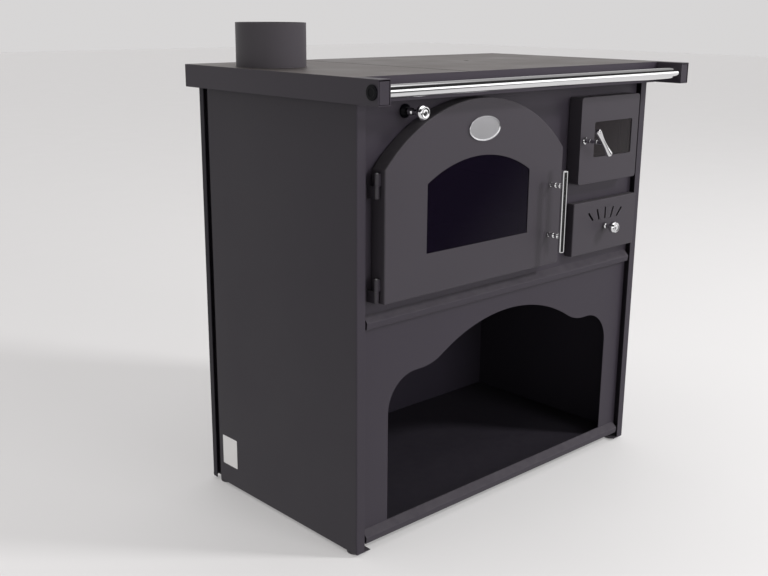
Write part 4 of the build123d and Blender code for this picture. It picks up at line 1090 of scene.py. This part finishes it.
@dataclass
class AshDrawer:
    """Drawer front with its fan of air slots, and the regulator's mushroom knob."""

    sheet: float = 1.5 * MM
    fold: float = 2.2 * MM
    cut_edge: float = 0.35 * MM
    slot_width: float = 4.6 * MM
    slot_length: float = 25.0 * MM
    slots: tuple[tuple[float, float, float], ...] = (
        (-49.5 * MM, 24.6 * MM, -43.5), (-24.3 * MM, 27.0 * MM, -21.0), (0.0, 28.0 * MM, 0.0),
        (24.3 * MM, 27.0 * MM, 21.0), (49.5 * MM, 24.6 * MM, 43.5))
    collar: float = 6.0 * MM
    collar_foot: float = 2.1 * MM
    collar_length: float = 3.5 * MM

    def front(self) -> None:
        """Folds the drawer's front and punches its slots."""
        low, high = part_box("ash_drawer_front")
        knob_low, knob_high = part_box("air_knob")
        middle = (knob_low + knob_high) / 2
        form = Form()
        outer = form.rectangle(low, at_depth(high, low.y))
        half = Vector((self.slot_width / 2, 0.0, self.slot_length / 2))
        holes = []
        for across, up, lean in self.slots:
            at = Vector((middle.x + across, low.y, middle.z + up))
            holes.append(form.rectangle(at - half, at + half, half.x * ROUND_END, math.radians(lean)))
        pan(form, outer, holes, high.y - low.y, self.fold)
        form.finish("ash_drawer_face", "ash_drawer_front", wall=self.sheet, edge=self.cut_edge)

    def build(self) -> None:
        """Makes the front and the knob."""
        self.front()
        Mushroom("air_mushroom", "air_knob", self.collar, self.collar_foot, self.collar_length).build()


# Cabinet

@dataclass
class Cabinet:
    """Folded side walls, rails, back cover with its slots and screws, feet, and a blank label."""

    sheet: float = 1.5 * MM
    bend: float = 2.6 * MM
    cut_edge: float = 0.3 * MM
    flange: float = 20.0 * MM
    groove: float = 25.5 * MM
    groove_depth: float = 12.0 * MM
    base: float = 34.0 * MM
    rail_slope: float = 12.3 * MM
    rail_undercut: float = 2.0 * MM
    rail_bend: float = 2.0 * MM
    slot: tuple[float, float] = (60.0 * MM, 6.0 * MM)
    slot_pitch: float = 90.0 * MM
    slot_count: int = 7
    slot_drop: float = 60.0 * MM
    washer: float = 4.0 * MM
    washer_mm: Outline = ((0.0, 0.0), (4.0, 0.0), (4.0, 0.5), (2.4, 0.6))
    washer_round: float = 0.2 * MM
    screw_head_mm: Outline = ((3.12, 0.4), (3.12, 1.6), (2.0, 2.0), (0.0, 2.0))
    screw_rows: int = 4
    foot: float = 16.0 * MM
    foot_disc_mm: Outline = ((0.0, 0.0), (15.04, 0.0), (16.0, 1.2), (16.0, 3.6), (12.8, 5.0), (4.0, 5.0))
    foot_round: float = 0.8 * MM
    stud_mm: tuple[float, float] = (4.0, 6.4)
    nut_foot_mm: Outline = ((4.0, 6.5), (7.0, 6.5))
    nut: float = 7.0 * MM
    nut_round: float = 0.5 * MM
    label_low: tuple[float, float] = (176.0 * MM, 48.0 * MM)
    label_high: tuple[float, float] = (225.0 * MM, 110.0 * MM)
    label_corner: float = 1.5 * MM
    label_thickness: float = 0.15 * MM

    def wall(self, side: Side) -> None:
        """Folds one side wall from its front flange back to its rear flange.

        Args:
            side: the side it stands on.
        """
        node = f"{side.name.lower()}_side_panel"
        low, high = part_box(node)
        face = high.x if side is Side.RIGHT else low.x
        step_y = high.y - self.groove
        path = ((self.flange, low.y), (0.0, low.y), (0.0, step_y), (self.groove_depth, step_y),
                (self.groove_depth, high.y), (self.groove_depth + self.flange, high.y))
        form = Form()
        foot = form.line(Vector((face - side.value * inward, y, low.z)) for inward, y in path)
        form.push(foot, UPWARD * (high.z - low.z))
        form.push([foot[1]], RIGHTWARD * (-side.value * self.base))
        form.rounded(form.folds(), self.bend, segments=5)
        form.finish(f"{side.name.lower()}_wall", node, wall=self.sheet, edge=self.cut_edge)

    def rail(self, node: str) -> None:
        """Folds one of the nosings across the front.

        Args:
            node: the CAD node that it stands for.
        """
        low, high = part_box(node)
        section = ((high.y, high.z), (low.y, high.z - self.rail_slope), (low.y + self.rail_undercut, low.z),
                   (high.y, low.z))
        form = Form()
        end = form.cap(form.loop(Vector((low.x, y, z)) for y, z in section))
        form.thicken([end], RIGHTWARD * (high.x - low.x))
        nose = [edge for edge in form.folds() if all(vert.co.y < high.y - self.sheet for vert in edge.verts)]
        form.rounded([edge for edge in nose if run(edge).x > self.flange], self.rail_bend, segments=4)
        form.finish(f"{node}_nosing", node, edge=self.cut_edge)

    def back(self) -> None:
        """Folds the back cover round its edges and punches the row of slots."""
        low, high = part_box("back_cover")
        form = Form()
        outer = form.rectangle(at_depth(low, high.y), high)
        half = Vector((self.slot[0] / 2, 0.0, self.slot[1] / 2))
        holes = []
        for number in range(self.slot_count):
            across = (number - (self.slot_count - 1) / 2) * self.slot_pitch
            at = Vector((across, high.y, high.z - self.slot_drop))
            holes += form.rectangle(at - half, at + half, half.z * ROUND_END)
        form.ring(outer, holes)
        form.push([edge for edge in outer if run(edge).x < self.sheet], BACKWARD * (low.y - high.y))
        form.rounded(form.folds(), self.bend, segments=5)
        form.finish("back_sheet", "back_cover", wall=self.sheet, edge=self.cut_edge)

    def screws(self) -> None:
        """Turns the back cover's screw heads with their washers."""
        low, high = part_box("cover_screws")
        washer = cushion(metres(self.washer_mm), self.washer_round)
        head = metres(self.screw_head_mm)
        spacing = (high.z - low.z - 2 * self.washer) / (self.screw_rows - 1)
        heads = Form()
        for x in (low.x + self.washer, high.x - self.washer):
            for number in range(self.screw_rows):
                at = Vector((x, low.y, low.z + self.washer + number * spacing))
                heads.turned(washer, at, Facing.REAR, steps=32)
                heads.turned(head, at, Facing.REAR, steps=6)
        heads.finish("cover_screw_heads", "cover_screws")

    def feet(self) -> None:
        """Turns the levelling feet with their studs and nuts."""
        low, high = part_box("levelling_feet")
        disc = cushion(metres(self.foot_disc_mm), self.foot_round) + metres([self.stud_mm])
        nut = cushion(metres(self.nut_foot_mm) + [(self.nut, high.z), (0.0, high.z)], self.nut_round)
        form = Form()
        for x in (low.x + self.foot, high.x - self.foot):
            for y in (low.y + self.foot, high.y - self.foot):
                form.turned(disc, Vector((x, y, 0.0)), steps=40)
                form.turned(nut, Vector((x, y, 0.0)), steps=6)
        form.finish("feet", "levelling_feet")

    def label(self) -> None:
        """Sticks the blank label on the left wall."""
        wall_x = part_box("left_side_panel")[0].x
        (y0, z0), (y1, z1) = self.label_low, self.label_high
        form = Form()
        corners = ((y0, z0), (y1, z0), (y1, z1), (y0, z1))
        face = form.cap(form.loop(Vector((wall_x, y, z)) for y, z in corners))
        form.blunted(list(face.verts), self.label_corner, segments=4)
        form.thicken(list(form.bm.faces), RIGHTWARD * -self.label_thickness)
        form.finish("blank_label", "left_side_panel", STICKER, stands_in=False)

    def build(self) -> None:
        """Makes every piece of the cabinet."""
        for side in Side:
            self.wall(side)
        for node in ("mid_rail", "threshold_rail"):
            self.rail(node)
        self.back()
        self.screws()
        self.feet()
        self.label()


@dataclass
class Hob:
    """Skirt with its two arms, cooking plates, flue collar, and the towel rail with its plugs."""

    rim: float = 2.0 * MM
    seat: float = 61.5 * MM
    corner: float = 3.0 * MM
    arm_width: float = 26.5 * MM
    cap_width: float = 21.3 * MM
    soft: float = 0.5 * MM
    plate_edge: float = 1.2 * MM
    seam: float = 1.3 * MM
    hole: float = 5.0 * MM
    hole_at: tuple[float, float] = (110.0 * MM, 54.0 * MM)
    rail: float = 11.0 * MM
    rail_round: float = 0.6 * MM
    plug: float = 12.5 * MM
    plug_lap: float = 0.4 * MM
    plug_shoulder: float = 0.85
    plug_dish: float = 7.0 * MM
    plug_floor: float = 6.3 * MM
    plug_depth: float = 1.0 * MM
    arm_round: float = 1.8 * MM
    arm_depth: float = 0.8
    collar_wall: float = 2.0 * MM
    collar_lip: float = 7.0 * MM
    collar_lip_height: float = 2.0 * MM
    turned_round: float = 0.7 * MM

    def frame_outline(self) -> tuple[Vector, Vector]:
        """Finds the skirt without its arms.

        Returns:
            Its lowest and highest corners.
        """
        low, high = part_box("top_frame")
        skirt_low = low.copy()
        skirt_low.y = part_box("hob_ledge")[0].y - self.rim
        return skirt_low, high

    def flat(self, form: Form, low: Vector, high: Vector, inset: float) -> list[BMEdge]:
        """Adds a level rectangle at the height of low, moved in on all sides, and returns its edges."""
        x0, x1, y0, y1 = low.x + inset, high.x - inset, low.y + inset, high.y - inset
        return form.loop(Vector((x, y, low.z)) for x, y in ((x0, y0), (x1, y0), (x1, y1), (x0, y1)))

    def skirt(self) -> None:
        """Stands the skirt round the hob and lays the ring under it, with no round where the arms join."""
        low, high = self.frame_outline()
        form = Form()
        wall = form.band(self.flat(form, low, high, 0.0), self.flat(form, low, high, self.rim))
        form.thicken(wall, UPWARD * (high.z - low.z))
        rear = {vert for vert in form.bm.verts if vert.co.y > high.y - self.soft}
        corners = [edge for edge in form.folds() if run(edge).z > self.rim and rear.issuperset(edge.verts)]
        form.rounded(corners, self.corner, segments=4)
        ring = form.band(self.flat(form, low, high, self.rim), self.flat(form, low, high, self.seat))
        form.thicken(ring, UPWARD * self.rim)
        side, front = high.x - self.soft, low.y + self.soft
        seams = {vert for vert in form.bm.verts if abs(vert.co.x) > side and vert.co.y < front}
        open_edges = [edge for edge in form.folds() if not seams.issuperset(edge.verts)]
        form.rounded(open_edges, self.soft, segments=2)
        form.finish("hob_skirt", "top_frame")

    def arm(self, side: Side) -> None:
        """Folds one arm: a square tube, open in front, that carries the towel rail.

        Args:
            side: the side it stands on.
        """
        low, high = self.frame_outline()
        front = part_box("top_frame")[0].y
        outer = high.x * side.value
        inner = outer - self.arm_width * side.value
        form = Form()
        form.block(Vector((min(outer, inner), front, low.z)), Vector((max(outer, inner), low.y, high.z)))
        mouth = min(form.bm.faces, key=lambda face: face.calc_center_median().y)
        bmesh.ops.inset_individual(form.bm, faces=[mouth], thickness=self.rim)
        shaft = bmesh.ops.extrude_face_region(form.bm, geom=[mouth])["geom"]
        deep = BACKWARD * ((low.y - front) * self.arm_depth)
        bmesh.ops.translate(form.bm, vec=deep, verts=only(BMVert, shaft))
        bmesh.ops.delete(form.bm, geom=[mouth], context="FACES_ONLY")
        bent = {vert for vert in form.bm.verts
                if abs(vert.co.x - outer) < self.soft and vert.co.y < front + self.soft}
        corner = [edge for edge in form.folds() if run(edge).z > self.rim and bent.issuperset(edge.verts)]
        form.rounded(corner, self.arm_round, segments=3)
        joint = low.y - self.soft
        free = [edge for edge in form.folds() if min(vert.co.y for vert in edge.verts) < joint]
        form.rounded(free, self.soft, segments=2)
        form.finish(f"{side.name.lower()}_arm", "top_frame")

    def cap(self) -> None:
        """Sets the plates into the arms' front ends."""
        low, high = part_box("arm_end_caps")
        form = Form()
        form.block(Vector((high.x - self.cap_width, low.y, low.z)), high)
        form.block(low, Vector((low.x + self.cap_width, high.y, high.z)))
        form.finish("arm_caps", "arm_end_caps", edge=self.soft)

    def plates(self) -> None:
        """Lays the two cooking plates, one round the flue, one with the lifting hole."""
        for node, radius in (("cooktop_left_plate", 0.0), ("cooktop_right_plate", self.hole)):
            low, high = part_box(node)
            at = Vector((*self.hole_at, high.z))
            if not radius:
                flue_low, flue_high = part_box("flue_collar")
                at = (flue_low + flue_high) / 2
                at.z = high.z
                radius = (flue_high.x - flue_low.x) / 2 - self.collar_lip
            form = Form()
            outline = self.flat(form, Vector((*low.xy, high.z)), high, self.seam)
            made = bmesh.ops.create_circle(form.bm, segments=64, radius=radius, matrix=Matrix.Translation(at))
            form.thicken(form.ring(outline, edges_of(made["verts"])), UPWARD * (low.z - high.z))
            form.finish(f"{node}_slab", node, edge=self.plate_edge)

    def collar(self) -> None:
        """Turns the flue collar with its lip under the plate."""
        low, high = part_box("flue_collar")
        middle = (low + high) / 2
        outer = (high.x - low.x) / 2
        pipe = outer - self.collar_lip
        bore = pipe - self.collar_wall
        top = high.z - low.z
        lip = self.collar_lip_height
        outline = [(bore, 0.0), (outer, 0.0), (outer, lip), (pipe, lip), (pipe, top), (bore, top),
                   (bore, 0.0)]
        form = Form()
        soft = cushion(outline, self.turned_round, steps=3)
        form.turned(soft, Vector((middle.x, middle.y, low.z)), steps=96)
        form.finish("flue_outlet", "flue_collar")

    def towel_rail(self) -> None:
        """Draws the tube through both arms and closes it with dished plugs."""
        low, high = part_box("towel_rail")
        middle = (low + high) / 2
        tube = Form()
        length = high.x - low.x
        bore = self.rail - self.rim
        outline = [(bore, 0.0), (self.rail, 0.0), (self.rail, length), (bore, length)]
        start = Vector((low.x, middle.y, middle.z))
        tube.turned(cushion(outline, self.rail_round), start, Facing.RIGHT, steps=64)
        tube.finish("towel_tube", "towel_rail")
        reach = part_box("rail_end_plugs")[1].x - high.x
        dish = reach - self.plug_depth
        shoulder = reach * self.plug_shoulder
        head = cushion([(self.rail, -self.plug_lap), (self.plug, 0.0), (self.plug, shoulder),
                        (self.plug_dish, reach), (self.plug_floor, dish), (0.0, dish)], self.turned_round)
        plugs = Form()
        plugs.turned(head, Vector((high.x, middle.y, middle.z)), Facing.RIGHT)
        plugs.turned(head, Vector((low.x, middle.y, middle.z)), Facing.LEFT)
        plugs.finish("tube_plugs", "rail_end_plugs")

    def build(self) -> None:
        """Makes every piece of the hob."""
        self.skirt()
        for side in Side:
            self.arm(side)
        self.cap()
        self.plates()
        self.collar()
        self.towel_rail()


@dataclass
class Fittings:
    """Hinge leaves, barrels and pins, and the damper's knob with its rose."""

    barrel: float = 4.75 * MM
    barrel_length: float = 20.85 * MM
    pair_length: float = 42.0 * MM
    axis_out: float = 6.0 * MM
    pin_foot_mm: tuple[float, float] = (0.0, -4.0)
    pin_head_mm: Outline = ((3.0, -0.2), (3.0, 0.6), (2.1, 1.5), (0.0, 1.5))
    turned_round: float = 0.6 * MM
    leaf: float = 1.5 * MM
    leaf_reach: float = 13.0 * MM
    leaf_lap: float = 2.0 * MM
    arm_inner: float = 0.8 * MM
    tab: float = 3.0 * MM
    soft: float = 0.5 * MM
    rose_bore: float = 4.1 * MM
    rose_rim: float = 0.45
    rose_top: float = 0.62
    rose_round: float = 1.6 * MM
    collar: float = 6.5 * MM
    collar_set: float = 4.0 * MM
    collar_length: float = 8.0 * MM

    def hinges(self) -> None:
        """Turns every barrel, folds its leaf or tab, and drives the pins."""
        axis_y = (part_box("hinge_pins")[0].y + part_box("hinge_pins")[1].y) / 2
        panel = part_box("hinge_brackets")[1].y
        front = axis_y - self.barrel
        half = self.barrel_length
        section = [(0.0, 0.0), (self.barrel, 0.0), (self.barrel, half), (0.0, half)]
        barrel = cushion(section, self.turned_round)
        pin = metres([self.pin_foot_mm]) + cushion(metres(self.pin_head_mm), self.turned_round)
        pins = Form()
        fixed = Form()
        swinging = {"oven_door_knuckles": Form(), "firebox_door_knuckles": Form()}
        for (node, form), side in zip(swinging.items(), Side):
            low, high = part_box(node)
            edge = high.x if side is Side.LEFT else low.x
            x = edge + side.value * self.axis_out
            arm = sorted((x + side.value * self.barrel, x + side.value * self.arm_inner))
            leaf = sorted((x + side.value * self.leaf_reach, x - side.value * self.leaf_lap))
            tab = sorted((x, edge))
            for top in (low.z + half, high.z):
                foot = top - self.pair_length
                fixed.turned(barrel, Vector((x, axis_y, foot)), steps=32)
                fixed.block(Vector((arm[0], axis_y, foot)), Vector((arm[1], panel - self.leaf, foot + half)))
                fixed.block(Vector((leaf[0], panel - self.leaf, foot)), Vector((leaf[1], panel, foot + half)))
                form.turned(barrel, Vector((x, axis_y, top - half)), steps=32)
                form.block(Vector((tab[0], front, top - half)), Vector((tab[1], front + self.tab, top)))
                pins.turned(pin, Vector((x, axis_y, top)), steps=24)
        fixed.finish("hinge_leaves", "hinge_brackets", edge=self.soft)
        pins.finish("hinge_pin_heads", "hinge_pins")
        for node, form in swinging.items():
            form.finish(f"{node}_barrels", node, edge=self.soft)

    def rose(self) -> None:
        """Turns the rose that the damper's rod runs through."""
        low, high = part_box("damper_escutcheon")
        radius = (high.x - low.x) / 2
        depth = high.y - low.y
        outline = [(radius, 0.0), (radius, depth * self.rose_rim), (radius * self.rose_top, depth),
                   (self.rose_bore, depth), (self.rose_bore, 0.0)]
        rose = Form()
        rose.turned(cushion(outline, self.rose_round), at_depth((low + high) / 2, high.y), Facing.FRONT)
        rose.finish("damper_rose", "damper_escutcheon")

    def damper(self) -> None:
        """Turns the damper's knob with its collar just in front of the rose."""
        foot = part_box("damper_rod")[1].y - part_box("damper_escutcheon")[0].y + self.collar_set
        Mushroom("damper_mushroom", "damper_rod", self.collar, foot, self.collar_length).build()

    def build(self) -> None:
        """Makes every piece of the hinges and the damper."""
        self.hinges()
        self.rose()
        self.damper()


# Stage

@dataclass
class Studio:
    """Pale floor, soft light and the camera at the photograph's place."""

    floor_size: float = 40.0
    floor_colour: Colour = (0.35, 0.345, 0.345)
    glow_colour: Colour = (1.0, 0.985, 0.98)
    floor_glow: float = 0.27
    sky_colour: Colour = (1.0, 0.985, 0.985)
    sky_strength: float = 2.0
    backdrop_tone: float = 0.34
    wall_tones: Tones = ((-1.0, 0.42), (0.25, 0.42), (0.36, 0.2), (0.66, 0.2), (0.78, 0.9), (1.0, 1.0))
    room_tones: Tones = ((-1.0, 0.4), (-0.42, 0.36), (-0.36, 0.015), (-0.08, 0.015), (-0.05, 0.95),
                         (0.27, 0.95), (0.31, 0.015), (0.80, 0.02), (0.88, 0.9), (1.0, 1.0))
    room_turn: float = -0.1
    room_heights: tuple[float, float] = (-0.26, 0.5)
    room_half_widths: tuple[float, float] = (0.94, 1.5)
    room_blend: float = 0.06
    aim: tuple[float, float, float] = (0.0, 0.0, 0.5)
    key_at: tuple[float, float, float] = (3.3, -3.9, 3.75)
    key_power: float = 330.0
    key_size: tuple[float, float] = (0.8, 0.6)
    fill_at: tuple[float, float, float] = (0.3, -4.2, 1.3)
    fill_power: float = 115.0
    fill_size: tuple[float, float] = (1.6, 1.6)
    camera_at: tuple[float, float, float] = (-1.53062, -1.45777, 0.96319)
    camera_turn_deg: tuple[float, float, float] = (74.8924, -0.4169, -42.8996)
    lens_mm: float = 48.778
    sensor_mm: float = 36.0
    view_depth: float = 100.0

    def floor(self) -> None:
        """Lays a plain floor under the feet."""
        form = bmesh.new()
        bmesh.ops.create_grid(form, x_segments=1, y_segments=1, size=self.floor_size / 2)
        mesh = bpy.data.meshes.new("floor")
        form.to_mesh(mesh)
        form.free()
        paint = Paint("floor_paint", self.floor_colour, 0.6, grains=40.0, patchiness=0.02, dust=0.0,
                      grain_strength=0.03, gloss=0.3)
        coat = paint.material()
        shader = coat.node_tree.nodes["Principled BSDF"]
        shader.inputs["Emission Color"].default_value = (*self.glow_colour, 1.0)
        shader.inputs["Emission Strength"].default_value = self.floor_glow
        mesh.materials.append(coat)
        sheet = bpy.data.objects.new("floor", mesh)
        sheet.visible_glossy = False
        bpy.context.scene.collection.objects.link(sheet)

    def ramp(self, graph: Graph, height: NodeSocket, tones: Tones) -> NodeSocket:
        """Gives the surroundings a tone for each height, from -1 straight down to 1 straight up.

        Args:
            graph: the world's tree.
            height: the height of the direction looked in.
            tones: height and tone of each stop, the first at -1 and the last at 1.

        Returns:
            The tone.
        """
        ramp = graph.add("ValToRGB", {"Fac": graph.share(height, -1.0, 1.0)})
        stops = ramp.color_ramp.elements
        for stop, (_, tone) in zip(stops, (tones[0], tones[-1])):
            stop.color = (tone, tone, tone, 1.0)
        for place, tone in tones[1:-1]:
            stops.new((place + 1) / 2).color = (tone, tone, tone, 1.0)
        return ramp.outputs["Color"]

    def sky(self) -> None:
        """Surrounds the scene with pale walls, a darker room in front with a lit strip, and a ceiling."""
        world = bpy.data.worlds.new("studio")
        world.use_nodes = True
        graph = Graph(world.node_tree)
        way = graph.add("TexCoord").outputs["Generated"]
        across, deep, height = graph.add("SeparateXYZ", {"Vector": way}).outputs
        walls = self.ramp(graph, height, self.wall_tones)
        room = self.ramp(graph, height, self.room_tones)
        turn = graph.math("ARCTAN2", across, graph.math("MULTIPLY", deep, -1.0))
        off = graph.math("ABSOLUTE", graph.math("SUBTRACT", turn, self.room_turn))
        half_width = graph.spread(graph.share(height, *self.room_heights), *self.room_half_widths)
        past = graph.math("SUBTRACT", off, half_width)
        around = graph.mix(graph.share(past, -self.room_blend, self.room_blend), room, walls)
        seen = graph.add("LightPath").outputs["Is Camera Ray"]
        tone = graph.mix(seen, around, (*(self.backdrop_tone,) * 3, 1.0))
        shade = world.node_tree.nodes["Background"]
        graph.feed(shade, {"Color": (*self.sky_colour, 1.0),
                           "Strength": graph.math("MULTIPLY", tone, self.sky_strength)})
        bpy.context.scene.world = world
        bpy.context.scene.view_settings.view_transform = "Standard"

    def softbox(self, name: str, at: Vector, towards: Vector, size: tuple[float, float],
                power: float) -> None:
        """Hangs a rectangular soft light.

        Args:
            name: the light's name.
            at: its place.
            towards: the point it faces.
            size: its width and height.
            power: its power in watts.
        """
        lamp = bpy.data.lights.new(name, "AREA")
        lamp.shape = "RECTANGLE"
        lamp.size, lamp.size_y = size
        lamp.energy = power
        holder = bpy.data.objects.new(name, lamp)
        holder.location = at
        holder.rotation_euler = (towards - at).to_track_quat("-Z", "Y").to_euler()
        holder.visible_glossy = False
        bpy.context.scene.collection.objects.link(holder)

    def camera(self) -> None:
        """Places the camera that sees what the photograph sees."""
        eye = bpy.data.cameras.new("camera")
        eye.lens = self.lens_mm
        eye.sensor_width = self.sensor_mm
        eye.clip_end = self.view_depth
        holder = bpy.data.objects.new("camera", eye)
        holder.location = self.camera_at
        holder.rotation_euler = [math.radians(angle) for angle in self.camera_turn_deg]
        bpy.context.scene.collection.objects.link(holder)
        bpy.context.scene.camera = holder

    def build(self) -> None:
        """Sets up floor, light and camera."""
        self.floor()
        self.sky()
        aim = Vector(self.aim)
        self.softbox("key_light", Vector(self.key_at), aim, self.key_size, self.key_power)
        self.softbox("fill_light", Vector(self.fill_at), aim, self.fill_size, self.fill_power)
        self.camera()
        log.info("studio is ready")


def main() -> None:
    """Dresses the nodes, adds the pieces and sets the stage."""
    logging.basicConfig(level=logging.INFO, format="%(message)s")
    dress_nodes()
    for assembly in (Cabinet(), Hob(), OvenDoor(), FireboxDoor(), AshDrawer(), Fittings()):
        assembly.build()
    Studio().build()


if __name__ == "__main__":
    main()
